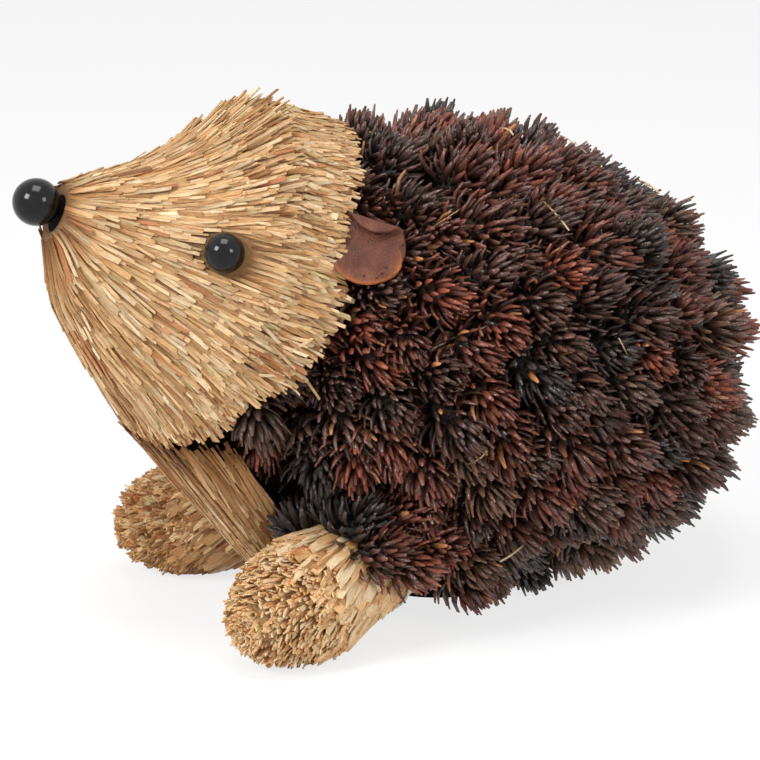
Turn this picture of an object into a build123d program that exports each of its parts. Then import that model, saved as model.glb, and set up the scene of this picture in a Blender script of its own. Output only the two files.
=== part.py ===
# Hedgehog figurine: a foam body covered in small pine cones, with a straw-thatched head and paws.
# Nose towards -X, its left side towards -Y, +Z up. The origin is the centre of the flat foot.
# Lengths are in millimetres and angles in degrees.

from build123d import *
from math import asin, cos, pi, radians, sin, sqrt
import os

os.makedirs("parts", exist_ok=True)

# Foam body block: a turned egg, nose end high, with a flat foot
body_length = 214.0
body_diameter = 151.0
body_height = 103.0
body_pitch = 17.0
foot_length = 70.0
foot_width = 46.0
foot_draft = 4.0

# Head block, measured back along its axis from the end of the snout
head_length = 104.0
head_rise = 70.0
head_half_width = 64.0
head_drop = 95.0
head_pitch = 23.5
rim_tilt = 9.0
rim_share = 0.894
neck_seat_share = 0.841
neck_gap = 14.0
neck_diameter = 64.0
neck_dowel_diameter = 10.0
neck_dowel_length = 84.0

# Outline of the bell-shaped head at seven stations
station_shares = (0.03, 0.13, 0.27, 0.40, 0.54, 0.69, 1.00)
rise_shares = (0.16, 0.25, 0.37, 0.53, 0.76, 0.97, 1.00)
width_shares = (0.18, 0.27, 0.41, 0.58, 0.80, 1.00, 1.00)
drop_shares = (0.15, 0.35, 0.49, 0.60, 0.69, 0.81, 1.00)

# Straw, as thick glued courses with free ends
straw_backing = 5.0
straw_thickness = 1.6
straw_sink = 0.6
straw_lift = 1.7
straw_inset = 0.8
straw_overhang = 3.5
throat_angle = 55.0
straw_width_share = 0.62
straws_per_course = (18, 34, 44, 50, 54, 54)

# Nose and eyes: black beads on wire pins
nose_diameter = 19.0
nose_pin_diameter = 2.0
nose_pin_length = 34.0
eye_diameter = 16.0
eye_proud = 3.0
eye_station_share = 0.53
eye_angle = 80.0
eye_pin_diameter = 1.6
eye_pin_length = 22.0

# Ears: leather flaps glued to the rim of the head
ear_length = 27.0
ear_width = 29.0
ear_thickness = 1.5
ear_fold = 5.0
ear_angle = 66.0
ear_flare = 35.0
ear_root_share = 0.22
ear_fold_share = 0.76
ear_sample_run_shares = (0.1, 0.4, 0.7, 0.95)
ear_sample_width_shares = (-0.45, -0.2, 0.0, 0.2, 0.45)

# Throat: a foam wedge faced with long straws
throat_half_width = 27.0
throat_end_half_width = 13.0
throat_back_share = 0.5
throat_pad_end = 46.0
throat_end_reach = 93.0
throat_end_height = 19.0
throat_top_height = 104.0
throat_crown = 5.0
throat_straw_rows = 3
throat_straws_per_row = 10

# Front paws: straw bundles tied with wire and pegged into the foot
paw_toe_reach = 108.0
paw_toe_spread = 62.0
paw_toe_height = 23.0
paw_heel_spread = 20.0
paw_heel_height = 42.0
paw_toe_diameter = 45.0
paw_heel_diameter = 36.0
paw_toe_dome = 15.0
paw_tie_distance = 50.0
paw_flank_straws = 26
paw_toe_rings = 3
paw_toe_straws_per_ring = 9
paw_toe_first_ring_share = 0.4
paw_straw_width = 3.0
paw_straw_stub = 3.0
tie_wire_diameter = 1.4
peg_diameter = 6.0
peg_length = 82.0
peg_start_share = 0.22

# Pine cones in rings round the body, and the hot glue under them
cone_lengths = (29.0, 26.0, 23.0)
cone_radii = (12.7, 12.3, 11.6)
cone_pitch = 27.0
ring_pitch = 25.4
first_ring_angle = 38.0
cone_lean = 28.0
cone_lean_fade = 70.0
cone_spin = 40.0
small_cone_rings = 2
cone_stalk_radius = 3.0
cone_bud_heights_share = (0.0, 0.16, 0.55, 0.92)
cone_bud_radii_share = (0.24, 0.52, 0.44, 0.14)
cone_outline_height_shares = (0.10, 0.35, 0.60, 0.85, 1.00)
cone_outline_radius_shares = (0.60, 1.00, 0.95, 0.65, 0.25)
scale_rows = 4
scales_per_row = 5
scale_height_shares = (0.17, 0.34, 0.50, 0.66)
scale_reach_shares = (0.90, 1.00, 0.86, 0.62)
scale_splays = (76.0, 60.0, 43.0, 26.0)
scale_width = 5.6
scale_thickness = 2.1
scale_sink = 1.4
scale_draft = 5.0
bud_sides = 8
glue_diameter = 9.0
glue_thickness = 1.0

# Running clearances
seat_gap = 0.2
soft_gap = 0.3
hole_clearance = 0.3
rim_clearance = 4.5
floor_clearance = 8.0
overrun = 60.0

# The shared frame of body and head
across = Vector(0, 1, 0)
body_centre = Vector(0, 0, body_height)
body_axis = Vector(cos(radians(body_pitch)), 0, -sin(radians(body_pitch)))
body_plane = Plane(origin=body_centre, x_dir=body_axis, z_dir=(0, -1, 0))
head_axis = Vector(cos(radians(head_pitch)), 0, -sin(radians(head_pitch)))
head_up = Vector(sin(radians(head_pitch)), 0, cos(radians(head_pitch)))
rim_station = rim_share * head_length
neck_seat = neck_seat_share * body_length / 2
head_reach = neck_seat + neck_gap + rim_station
snout = body_centre - head_axis * head_reach
rim_pitch = head_pitch + rim_tilt
rim_normal = Vector(cos(radians(rim_pitch)), 0, -sin(radians(rim_pitch)))
rim_origin = snout + head_axis * rim_station
neck_origin = rim_origin + head_axis * neck_gap
rim_plane = Plane(origin=rim_origin, x_dir=across, z_dir=rim_normal)
neck_plane = Plane(origin=neck_origin, x_dir=across, z_dir=rim_normal)
pieces = 0


def finish(shape, name):
    """Label a finished piece and write it to its own file."""
    global pieces
    shape.label = name
    export_step(shape, "parts/" + name + ".step")
    pieces += 1


def rod(start, end, diameter):
    """A round rod from one point to another."""
    along = end - start
    with BuildPart() as bar:
        with BuildSketch(Plane(origin=start, z_dir=along)):
            Circle(diameter / 2)
        extrude(amount=along.length)
    return bar.part


def straw(start, end, sideways, width, thickness):
    """One flat straw from one point to another."""
    along = end - start
    with BuildPart() as stalk:
        with BuildSketch(Plane(origin=start, x_dir=sideways, z_dir=along)):
            Rectangle(width, thickness)
        extrude(amount=along.length)
    return stalk.part


def egg(growth):
    """The body's egg, larger all round by growth."""
    with BuildPart() as solid:
        with BuildSketch(body_plane):
            with BuildLine():
                half = EllipticalCenterArc(
                    (0, 0),
                    body_length / 2 + growth,
                    body_diameter / 2 + growth,
                    arc_size=180,
                )
                Line(half @ 1, half @ 0)
            make_face()
        revolve(axis=Axis(body_centre, body_axis))
    return solid.part


def foot(growth):
    """The flat-cut foot under the egg, larger all round by growth."""
    with BuildPart() as solid:
        with BuildSketch(Plane.XY):
            Ellipse(foot_length / 2 + growth, foot_width / 2 + growth)
        with BuildSketch(Plane.XY.offset(body_height / 2)):
            Ellipse(foot_length / 2 - foot_draft + growth, foot_width / 2 - foot_draft + growth)
        loft(ruled=True)
    return solid.part


def body_form(growth):
    """Egg and foot as one solid, larger all round by growth."""
    with BuildPart() as solid:
        add(egg(growth))
        add(foot(growth))
    return solid.part


def station(index):
    """Distance of a head section from the end of the snout."""
    return station_shares[index] * head_length


def station_plane(distance):
    """The plane across the head at a distance from the end of the snout."""
    return Plane(origin=snout + head_axis * distance, x_dir=across, z_dir=head_axis)


def head_sizes(distance):
    """Rise, half width and drop of the head's outline at a distance from the end of the snout."""
    where = min(max(distance, station(0)), station(len(station_shares) - 1))
    index = 0
    while index < len(station_shares) - 2 and where > station(index + 1):
        index += 1
    part = (where - station(index)) / (station(index + 1) - station(index))
    sizes = []
    for full, shares in ((head_rise, rise_shares), (head_half_width, width_shares), (head_drop, drop_shares)):
        sizes.append(full * (shares[index] + part * (shares[index + 1] - shares[index])))
    return sizes


def head_point(distance, angle):
    """A point on the head's outline, at an angle from its top towards +Y."""
    rise, half_width, drop = head_sizes(distance)
    turn = radians(angle)
    height = (rise if cos(turn) >= 0 else drop) * cos(turn)
    return snout + head_axis * distance + head_up * height + across * (half_width * sin(turn))


def head_outward(angle):
    """Outward direction, square to the head's axis, at an angle from its top."""
    return head_up * cos(radians(angle)) + across * sin(radians(angle))


def head_sideways(distance, angle):
    """Direction along the head's outline at an angle from its top."""
    rise, half_width, drop = head_sizes(distance)
    turn = radians(angle)
    height = rise if cos(turn) >= 0 else drop
    return (head_up * (-height * sin(turn)) + across * (half_width * cos(turn))).normalized()


def head_hull(first, last, shrink):
    """The head's solid between two stations, smaller all round by shrink."""
    with BuildPart() as solid:
        for index in range(first, last + 1):
            rise, half_width, drop = head_sizes(station(index))
            with BuildSketch(station_plane(station(index))):
                with BuildLine():
                    EllipticalCenterArc((0, 0), half_width - shrink, rise - shrink, arc_size=180)
                    EllipticalCenterArc((0, 0), half_width - shrink, drop - shrink, 180, arc_size=180)
                make_face()
        loft(ruled=True)
    return solid.part


def rim_point(angle):
    """Where the straw at an angle reaches the rim plane."""
    last = len(station_shares) - 1
    start = head_point(station(last - 1), angle)
    along = head_point(station(last), angle) - start
    return start + along * ((rim_origin - start).dot(rim_normal) / along.dot(rim_normal))


def eye_frame(side):
    """The surface point under an eye and the direction in which the eye looks."""
    distance = eye_station_share * head_length
    angle = side * eye_angle
    spot = head_point(distance, angle)
    half_step = eye_diameter / 4
    along = head_point(distance + half_step, angle) - head_point(distance - half_step, angle)
    outward = head_sideways(distance, angle).cross(along).normalized()
    if outward.dot(head_outward(angle)) < 0:
        outward = outward * -1
    return spot, outward


eye_centres = []
eye_looks = []
for side in (-1, 1):
    spot, outward = eye_frame(side)
    eye_centres.append(spot + outward * eye_proud)
    eye_looks.append(outward)

# Nose bead on its pin
nose_centre = snout + head_axis * (station(0) - nose_diameter / 2 - seat_gap)
nose_pin_start = nose_centre - head_axis * (nose_diameter / 4)
nose_pin_end = nose_pin_start + head_axis * nose_pin_length
nose_hole = rod(nose_pin_start, nose_pin_end, nose_pin_diameter + hole_clearance)

with BuildPart() as nose_bead:
    with Locations(nose_centre):
        Sphere(nose_diameter / 2)
    add(nose_hole, mode=Mode.SUBTRACT)
finish(nose_bead.part, "nose_bead")
finish(rod(nose_pin_start, nose_pin_end, nose_pin_diameter), "nose_pin")

# Neck dowel, half in the head block and half in the body block
neck_middle = (rim_origin + neck_origin) / 2
dowel_start = neck_middle - head_axis * (neck_dowel_length / 2)
dowel_end = neck_middle + head_axis * (neck_dowel_length / 2)
finish(rod(dowel_start, dowel_end, neck_dowel_diameter), "neck_dowel")
dowel_hole = rod(
    dowel_start - head_axis * seat_gap,
    dowel_end + head_axis * seat_gap,
    neck_dowel_diameter + hole_clearance,
)

# Eye beads on their pins, and the holes and pockets they need
eye_pins = []
eye_holes = []
eye_pockets = []
for centre, outward in zip(eye_centres, eye_looks):
    start = centre + outward * (eye_diameter / 4)
    end = start - outward * eye_pin_length
    eye_pins.append(rod(start, end, eye_pin_diameter))
    eye_holes.append(rod(start, end - outward * seat_gap, eye_pin_diameter + hole_clearance))
    with BuildPart() as pocket:
        with Locations(centre):
            Sphere(eye_diameter / 2 + soft_gap)
    eye_pockets.append(pocket.part)

for name, centre, pin, hole in zip(("left", "right"), eye_centres, eye_pins, eye_holes):
    with BuildPart() as eye:
        with Locations(centre):
            Sphere(eye_diameter / 2)
        add(hole, mode=Mode.SUBTRACT)
    finish(eye.part, "eye_" + name)
    finish(pin, "eye_pin_" + name)

# Head block: foam, with a round neck boss that meets the body block
last_station = len(station_shares) - 1
with BuildPart() as neck_boss:
    with BuildSketch(station_plane(rim_station - neck_gap)):
        Circle(neck_diameter / 2)
    extrude(amount=neck_gap + overrun)
    split(bisect_by=Plane(origin=neck_origin - rim_normal * seat_gap, z_dir=rim_normal), keep=Keep.BOTTOM)

with BuildPart() as head_core:
    add(head_hull(0, last_station, straw_backing + seat_gap))
    split(bisect_by=rim_plane, keep=Keep.BOTTOM)
    add(neck_boss.part)
    add(dowel_hole, mode=Mode.SUBTRACT)
    add(nose_hole, mode=Mode.SUBTRACT)
    add(eye_pockets, mode=Mode.SUBTRACT)
    add(eye_holes, mode=Mode.SUBTRACT)
finish(head_core.part, "head_core")


def eye_is_near(start, end, width):
    """Whether a straw would run into an eye."""
    along = end - start
    for centre in eye_centres:
        part = min(max((centre - start).dot(along) / along.dot(along), 0), 1)
        gap = (start + along * part - centre).length
        if gap < eye_diameter / 2 + soft_gap + width:
            return True
    return False


def course_straws(index):
    """The straws of one course of thatch, each a little clear of the next."""
    count = straws_per_course[index]
    stalks = []
    for number in range(count):
        angle = 360 * (number + 0.5 * (index % 2)) / count
        start_distance = station(index) + straw_inset
        foot_point = head_point(start_distance, angle)
        if index == last_station - 1:
            tip_point = rim_point(angle)
            run = (tip_point - foot_point).normalized()
            over_throat = abs(angle - 180) < throat_angle
            tip_point = tip_point + run * (-straw_inset if over_throat else straw_overhang)
        else:
            tip_point = head_point(station(index + 1) - straw_inset, angle)
        outward = head_outward(angle)
        start = foot_point + outward * (straw_thickness / 2 - straw_sink)
        end = tip_point + outward * (straw_thickness / 2 + straw_lift)
        width = straw_width_share * 2 * pi * min(head_sizes(start_distance)) / count
        if (end - start).length < 2 * straw_overhang or eye_is_near(start, end, width):
            continue
        stalks.append(straw(start, end, head_sideways(start_distance, angle), width, straw_thickness))
    return stalks


straw_count = 0
for index in range(last_station):
    stalks = course_straws(index)
    straw_count += len(stalks)
    with BuildPart() as course:
        add(head_hull(index, index + 1, 0))
        add(head_hull(index, index + 1, straw_backing), mode=Mode.SUBTRACT)
        if index == last_station - 1:
            split(bisect_by=rim_plane, keep=Keep.BOTTOM)
        add(stalks)
        add(eye_pockets, mode=Mode.SUBTRACT)
        add(eye_holes, mode=Mode.SUBTRACT)
    finish(course.part, "head_straw_course_" + str(index + 1))

# Body block: foam egg and foot, cut flat where the neck boss meets it
heel_points = []
toe_points = []
for side in (-1, 1):
    heel_points.append(Vector(0, side * paw_heel_spread, paw_heel_height))
    toe_points.append(Vector(-paw_toe_reach, side * paw_toe_spread, paw_toe_height))

pegs = []
peg_holes = []
for heel, toe in zip(heel_points, toe_points):
    along = (heel - toe).normalized()
    start = toe + (heel - toe) * peg_start_share
    end = start + along * peg_length
    pegs.append(rod(start, end, peg_diameter))
    peg_holes.append(rod(start - along * seat_gap, end + along * seat_gap, peg_diameter + hole_clearance))

with BuildPart() as body_core:
    add(body_form(0))
    split(bisect_by=neck_plane, keep=Keep.TOP)
    add(dowel_hole, mode=Mode.SUBTRACT)
    add(peg_holes, mode=Mode.SUBTRACT)
finish(body_core.part, "body_core")

# Throat wedge of foam, and the bib of long straws on its front
throat_low = Vector(-throat_end_reach, 0, throat_end_height)
throat_slope = rim_point(180) - throat_low
throat_run = throat_slope.normalized()
throat_high = throat_low + throat_slope * ((throat_top_height - throat_end_height) / throat_slope.Z)
throat_outward = across.cross(throat_run).normalized()
bib_back = throat_crown + straw_backing / abs(throat_outward.X)


def throat_half_width_at(height):
    """Half width of the throat at a height over the floor."""
    part = (height - throat_end_height) / (rim_point(180).Z - throat_end_height)
    return throat_end_half_width + part * (throat_half_width - throat_end_half_width)


def throat_slab(front_inset, depth, crown, back_share):
    """A slab across the throat that follows the slope of its front and narrows to its back."""
    with BuildPart() as slab:
        for corner in (throat_low, throat_high):
            half_width = throat_half_width_at(corner.Z)
            front = corner.X + front_inset
            back = front + depth
            with BuildSketch(Plane.XY.offset(corner.Z)):
                with BuildLine():
                    if crown > 0:
                        ThreePointArc((front + crown, -half_width), (front, 0), (front + crown, half_width))
                    else:
                        Line((front, -half_width), (front, half_width))
                    Polyline(
                        (front + crown, half_width),
                        (back, half_width * back_share),
                        (back, -half_width * back_share),
                        (front + crown, -half_width),
                    )
                make_face()
        loft(ruled=True)
        split(bisect_by=Plane(origin=rim_origin + rim_normal * soft_gap, z_dir=rim_normal), keep=Keep.TOP)
    return slab.part


body_and_gap = body_form(soft_gap)

with BuildPart() as throat_pad:
    add(throat_slab(bib_back + soft_gap, throat_end_reach - bib_back, 0, throat_back_share))
    add(body_and_gap, mode=Mode.SUBTRACT)
    split(bisect_by=Plane.YZ.offset(-throat_pad_end), keep=Keep.BOTTOM)
finish(throat_pad.part, "throat_pad")


def throat_front(height, part):
    """A point on the front of the bib, at a height and a part of the half width."""
    middle = throat_low + throat_slope * ((height - throat_end_height) / throat_slope.Z)
    half_width = throat_half_width_at(height)
    return middle + Vector(throat_crown * part * part, half_width * part, 0)


bib_top = rim_point(180).Z - 2 * straw_overhang
bib_stalks = []
for row in range(throat_straw_rows):
    high = bib_top - (bib_top - throat_end_height) * row / throat_straw_rows
    low = bib_top - (bib_top - throat_end_height) * (row + 1) / throat_straw_rows
    for number in range(throat_straws_per_row):
        part = (2 * number + 1) / throat_straws_per_row - 1
        spread = throat_half_width_at(low) * 2 / throat_straws_per_row
        top_point = throat_front(high - straw_inset, part)
        low_point = throat_front(low, part)
        start = top_point + throat_outward * (straw_thickness / 2 - straw_sink)
        end = low_point + throat_outward * (straw_thickness / 2 + straw_lift)
        bib_stalks.append(straw(start, end, across, straw_width_share * spread, straw_thickness))
straw_count += len(bib_stalks)

with BuildPart() as throat_straw:
    add(throat_slab(0, bib_back, throat_crown, 1))
    add(body_and_gap, mode=Mode.SUBTRACT)
    add(bib_stalks)
finish(throat_straw.part, "throat_straw")


def paw_radius(part):
    """Radius of the bundle at a part of the way from heel to toe."""
    return (paw_heel_diameter + part * (paw_toe_diameter - paw_heel_diameter)) / 2


def paw_straws(plane, length):
    """Straws along the flank and on the domed end of a bundle, on a plane at its heel."""
    stalks = []
    start_height = length - paw_tie_distance + 3 * tie_wire_diameter
    for number in range(paw_flank_straws):
        turn = 2 * pi * number / paw_flank_straws
        outward = plane.x_dir * cos(turn) + plane.y_dir * sin(turn)
        sideways = plane.x_dir * -sin(turn) + plane.y_dir * cos(turn)
        start_radius = paw_radius(start_height / length) + straw_thickness / 2 - straw_sink
        end_radius = paw_radius(1) + straw_thickness / 2 - straw_sink
        start = plane.origin + plane.z_dir * start_height + outward * start_radius
        end = plane.origin + plane.z_dir * (length + paw_straw_stub * (number % 2)) + outward * end_radius
        stalks.append(straw(start, end, sideways, paw_straw_width, straw_thickness))
    for ring in range(paw_toe_rings):
        share = (ring + paw_toe_first_ring_share) / paw_toe_rings
        count = max(3, round(2 * paw_toe_straws_per_ring * share))
        for number in range(count):
            turn = 2 * pi * (number + 0.5 * (ring % 2)) / count
            outward = plane.x_dir * cos(turn) + plane.y_dir * sin(turn)
            sideways = plane.x_dir * -sin(turn) + plane.y_dir * cos(turn)
            radius = share * paw_radius(1)
            dome = paw_toe_dome - dome_radius + sqrt(dome_radius ** 2 - radius ** 2)
            base = plane.origin + plane.z_dir * (length + dome - paw_straw_stub) + outward * radius
            lean = (plane.z_dir + outward * (share / 2)).normalized()
            tip = base + lean * (2 * paw_straw_stub)
            stalks.append(straw(base, tip, sideways, paw_straw_width, straw_thickness))
    return stalks


# Paws: straw bundles, wire ties and wooden pegs
dome_radius = (paw_radius(1) ** 2 + paw_toe_dome ** 2) / (2 * paw_toe_dome)
dome_turn = asin(paw_radius(1) / dome_radius)
for name, heel, toe, peg, hole in zip(("left", "right"), heel_points, toe_points, pegs, peg_holes):
    along = toe - heel
    length = along.length
    dome_centre = length + paw_toe_dome - dome_radius
    plane = Plane(origin=heel, x_dir=across, z_dir=along)
    stalks = paw_straws(plane, length)
    profile_plane = Plane(origin=heel, x_dir=along, z_dir=plane.x_dir)
    with BuildPart() as paw_straw:
        with BuildSketch(profile_plane):
            with BuildLine():
                Polyline((length + paw_toe_dome, 0), (0, 0), (0, paw_radius(0)), (length, paw_radius(1)))
                ThreePointArc(
                    (length, paw_radius(1)),
                    (dome_centre + dome_radius * cos(dome_turn / 2), dome_radius * sin(dome_turn / 2)),
                    (length + paw_toe_dome, 0),
                )
            make_face()
        revolve(axis=Axis(heel, along))
        add(stalks)
        split(bisect_by=Plane.XY, keep=Keep.TOP)
        add(body_and_gap, mode=Mode.SUBTRACT)
        add(hole, mode=Mode.SUBTRACT)
    finish(paw_straw.part, "paw_straw_" + name)
    straw_count += len(stalks)
    finish(peg, "paw_peg_" + name)
    tie_part = 1 - paw_tie_distance / length
    tie_radius = paw_radius(tie_part) + tie_wire_diameter / 2 + seat_gap
    tie_centre = heel + along * tie_part
    with BuildPart() as paw_tie:
        with BuildSketch(Plane(origin=tie_centre, x_dir=plane.x_dir, z_dir=plane.y_dir)):
            with Locations((tie_radius, 0)):
                Circle(tie_wire_diameter / 2)
        revolve(axis=Axis(tie_centre, along))
    finish(paw_tie.part, "paw_tie_" + name)

# Ears: a rounded flap, cut straight at its root, with its top edge folded over
ear_points = []
for name, side in (("left", -1), ("right", 1)):
    angle = side * ear_angle
    outward = head_outward(angle)
    run = rim_normal * cos(radians(ear_flare)) + outward * sin(radians(ear_flare))
    face = outward * cos(radians(ear_flare)) - rim_normal * sin(radians(ear_flare))
    root = rim_point(angle) - outward * (straw_backing / 2) + rim_normal * (3 * soft_gap + ear_thickness)
    ear_plane = Plane(origin=root, x_dir=run, z_dir=face)
    up_sign = 1 if ear_plane.y_dir.Z > 0 else -1
    half_length = ear_length / 2 / (1 - ear_root_share / 2)
    centre_run = ear_length - half_length
    fold_height = ear_fold_share * ear_width / 2
    with BuildPart() as ear:
        with BuildSketch(ear_plane) as flap:
            with Locations((centre_run, 0)):
                Ellipse(half_length, ear_width / 2)
            with Locations((-ear_length / 2, 0)):
                Rectangle(ear_length, 2 * ear_width, mode=Mode.SUBTRACT)
            with Locations((centre_run, up_sign * (fold_height + ear_width / 2))):
                Rectangle(2 * ear_length, ear_width, mode=Mode.SUBTRACT)
        extrude(amount=ear_thickness)
        with BuildSketch(ear_plane.offset(ear_thickness)):
            with Locations((centre_run, 0)):
                Ellipse(half_length, ear_width / 2)
            with Locations((centre_run, up_sign * (fold_height - ear_fold / 2))):
                Rectangle(2 * ear_length, ear_fold, mode=Mode.INTERSECT)
            with Locations((-ear_length / 2, 0)):
                Rectangle(ear_length, 2 * ear_width, mode=Mode.SUBTRACT)
        extrude(amount=ear_thickness / 2)
    finish(ear.part, "ear_" + name)
    for run_share in ear_sample_run_shares:
        for width_share in ear_sample_width_shares:
            spot = root + run * (run_share * ear_length) + ear_plane.y_dir * (width_share * ear_width)
            ear_points.append(spot)


def scale_of_cone(height, turn, reach, splay, bud_radius):
    """One woody scale of a cone, from the bud out to a reach."""
    outward = Vector(cos(turn), sin(turn), 0)
    sideways = Vector(-sin(turn), cos(turn), 0)
    pointing = outward * sin(radians(splay)) + Vector(0, 0, cos(radians(splay)))
    start = outward * (bud_radius - scale_sink) + Vector(0, 0, height)
    length = (reach - bud_radius + scale_sink) / sin(radians(splay))
    with BuildPart() as scale:
        with BuildSketch(Plane(origin=start, x_dir=sideways, z_dir=pointing)):
            Rectangle(scale_width, scale_thickness)
        extrude(amount=length, taper=scale_draft)
    return scale.part


def bud_radius_at(share, radius):
    """Radius of the bud at a share of the cone's length."""
    index = 0
    while index < len(cone_bud_heights_share) - 2 and share > cone_bud_heights_share[index + 1]:
        index += 1
    low = cone_bud_heights_share[index]
    high = cone_bud_heights_share[index + 1]
    part = (share - low) / (high - low)
    shares = cone_bud_radii_share
    return radius * (shares[index] + part * (shares[index + 1] - shares[index]))


def pine_cone(length, radius):
    """One open pine cone, stalk end at the origin and tip along +Z."""
    scales = []
    for row in range(scale_rows):
        bud_radius = bud_radius_at(scale_height_shares[row], radius)
        for number in range(scales_per_row):
            turn = 2 * pi * (number + 0.5 * (row % 2)) / scales_per_row
            height = scale_height_shares[row] * length
            reach = scale_reach_shares[row] * radius
            scales.append(scale_of_cone(height, turn, reach, scale_splays[row], bud_radius))
    with BuildPart() as cone:
        for height_share, radius_share in zip(cone_bud_heights_share, cone_bud_radii_share):
            with BuildSketch(Plane.XY.offset(height_share * length)):
                RegularPolygon(radius_share * radius, bud_sides)
        loft(ruled=True)
        add(scales)
    return cone.part


def cone_fits(base, axis, length, radius):
    """Whether a cone stands clear of head, ears, throat, paws, foot and floor."""
    for height_share, radius_share in zip(cone_outline_height_shares, cone_outline_radius_shares):
        spot = base + axis * (height_share * length)
        reach = radius_share * radius
        if (spot - rim_origin).dot(rim_normal) < reach + rim_clearance:
            return False
        if spot.Z - reach * sqrt(max(0, 1 - axis.Z * axis.Z)) < floor_clearance:
            return False
        depth = (spot.X - throat_front(spot.Z, 0).X) / throat_end_reach
        side_share = 1 - (1 - throat_back_share) * min(max(depth, 0), 1)
        side_room = throat_half_width_at(spot.Z) * side_share + reach + soft_gap
        if spot.X < reach - throat_pad_end and spot.Z < throat_top_height + reach and abs(spot.Y) < side_room:
            return False
        if spot.Z < body_height / 2:
            x_share = spot.X / (foot_length / 2 + reach + soft_gap)
            y_share = spot.Y / (foot_width / 2 + reach + soft_gap)
            if x_share * x_share + y_share * y_share < 1:
                return False
        for heel, toe in zip(heel_points, toe_points):
            along = toe - heel
            part = min(max((spot - heel).dot(along) / along.dot(along), 0), 1)
            gap = (spot - heel - along * part).length
            if gap < paw_radius(part) + straw_thickness + reach + tie_wire_diameter:
                return False
        for point in ear_points:
            if (spot - point).length < reach + ear_thickness:
                return False
    return True


def egg_point(angle, turn, growth):
    """A point on the egg at an angle from its nose end and a turn about its axis."""
    egg_up = across.cross(body_axis) * -1
    along = -(body_length / 2 + growth) * cos(radians(angle))
    radius = (body_diameter / 2 + growth) * sin(radians(angle))
    return body_centre + body_axis * along + across * (radius * cos(turn)) + egg_up * (radius * sin(turn))


def ring_angles():
    """Angles of the rings of cones, an even pitch apart at half the cones' height."""
    growth = cone_lengths[1] / 2
    angles = [first_ring_angle]
    angle = first_ring_angle
    walked = 0.0
    while angle < 180:
        step = egg_point(angle + 1, 0, growth) - egg_point(angle, 0, growth)
        walked += step.length
        angle += 1
        if walked >= ring_pitch:
            walked -= ring_pitch
            angles.append(angle)
    return angles


def lean_at(angle):
    """Backward lean of the cones, which fades towards the tail."""
    fade = min(max((180 - angle) / cone_lean_fade, 0), 1)
    return cone_lean * fade


cones = []
for length, radius in zip(cone_lengths, cone_radii):
    cones.append(pine_cone(length, radius))
with BuildPart() as dab:
    with BuildSketch(Plane.XY):
        Circle(glue_diameter / 2)
    extrude(amount=glue_thickness)

# Rings of cones, each cone leaning back and seated on its dab of glue
glue_dabs = []
cone_count = 0
ring_number = 0
for ring, angle in enumerate(ring_angles()):
    ring_radius = (body_diameter / 2 + cone_lengths[1] / 2) * sin(radians(angle))
    count = max(1, round(2 * pi * ring_radius / cone_pitch))
    ring_cones = []
    for number in range(count):
        turn = 2 * pi * (number + 0.5 * (ring % 2)) / count
        base = egg_point(angle, turn, 0)
        back = (egg_point(angle + 1, turn, 0) - egg_point(angle - 1, turn, 0)).normalized()
        sideways = egg_point(angle, turn + pi / count, 0) - egg_point(angle, turn - pi / count, 0)
        normal = sideways.cross(back).normalized()
        if normal.dot(base - body_centre) < 0:
            normal = normal * -1
        lean = radians(lean_at(angle))
        axis = normal * cos(lean) + back * sin(lean)
        if axis.dot(rim_normal) < 0:
            axis = (normal - rim_normal * normal.dot(rim_normal)).normalized()
        size = 2 if ring < small_cone_rings else (number + ring) % 3
        seat = base + normal * (glue_thickness + 2 * seat_gap + cone_stalk_radius * sin(lean))
        if (base - neck_origin).dot(rim_normal) < glue_diameter / 2:
            continue
        if not cone_fits(seat, axis, cone_lengths[size], cone_radii[size]):
            continue
        place = Location(Plane(origin=seat, z_dir=axis)) * Rotation(0, 0, cone_spin * number)
        ring_cones.append(cones[size].moved(place))
        glue_dabs.append(dab.part.moved(Location(Plane(origin=base + normal * seat_gap, z_dir=normal))))
    if ring_cones:
        ring_number += 1
        cone_count += len(ring_cones)
        finish(Compound(children=ring_cones), "cone_ring_" + str(ring_number).zfill(2))
finish(Compound(children=glue_dabs), "glue_dabs")

print("straws", straw_count, "cones", cone_count, "rings", ring_number, "nodes", pieces)
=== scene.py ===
# %% [markdown]
# A hedgehog of straw and pine cones
#
# The real ornament is a foam egg covered in small pine cones, with a straw-thatched head,
# two straw paws, bead eyes and nose, and leather ears. This lesson dresses the measured
# model with those finishes. Everything is in metres, and the nose looks along -X.

# %% Load the measured model
from math import cos, pi, radians, sin, sqrt, tan

import bpy
import numpy as np
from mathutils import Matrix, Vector, noise


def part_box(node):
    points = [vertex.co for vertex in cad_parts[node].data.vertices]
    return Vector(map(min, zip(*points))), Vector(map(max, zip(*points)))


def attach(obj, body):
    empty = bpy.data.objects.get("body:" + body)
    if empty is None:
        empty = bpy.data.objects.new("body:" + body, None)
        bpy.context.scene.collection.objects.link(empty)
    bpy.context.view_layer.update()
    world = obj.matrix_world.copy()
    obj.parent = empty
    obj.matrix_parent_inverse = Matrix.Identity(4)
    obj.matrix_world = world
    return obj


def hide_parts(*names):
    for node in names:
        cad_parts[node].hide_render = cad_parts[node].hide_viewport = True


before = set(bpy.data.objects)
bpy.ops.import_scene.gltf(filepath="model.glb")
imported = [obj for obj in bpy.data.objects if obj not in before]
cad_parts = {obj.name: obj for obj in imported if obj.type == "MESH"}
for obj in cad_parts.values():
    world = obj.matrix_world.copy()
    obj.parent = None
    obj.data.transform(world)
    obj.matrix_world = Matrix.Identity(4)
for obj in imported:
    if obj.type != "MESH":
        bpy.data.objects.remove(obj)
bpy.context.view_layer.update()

MM = 0.001

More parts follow.
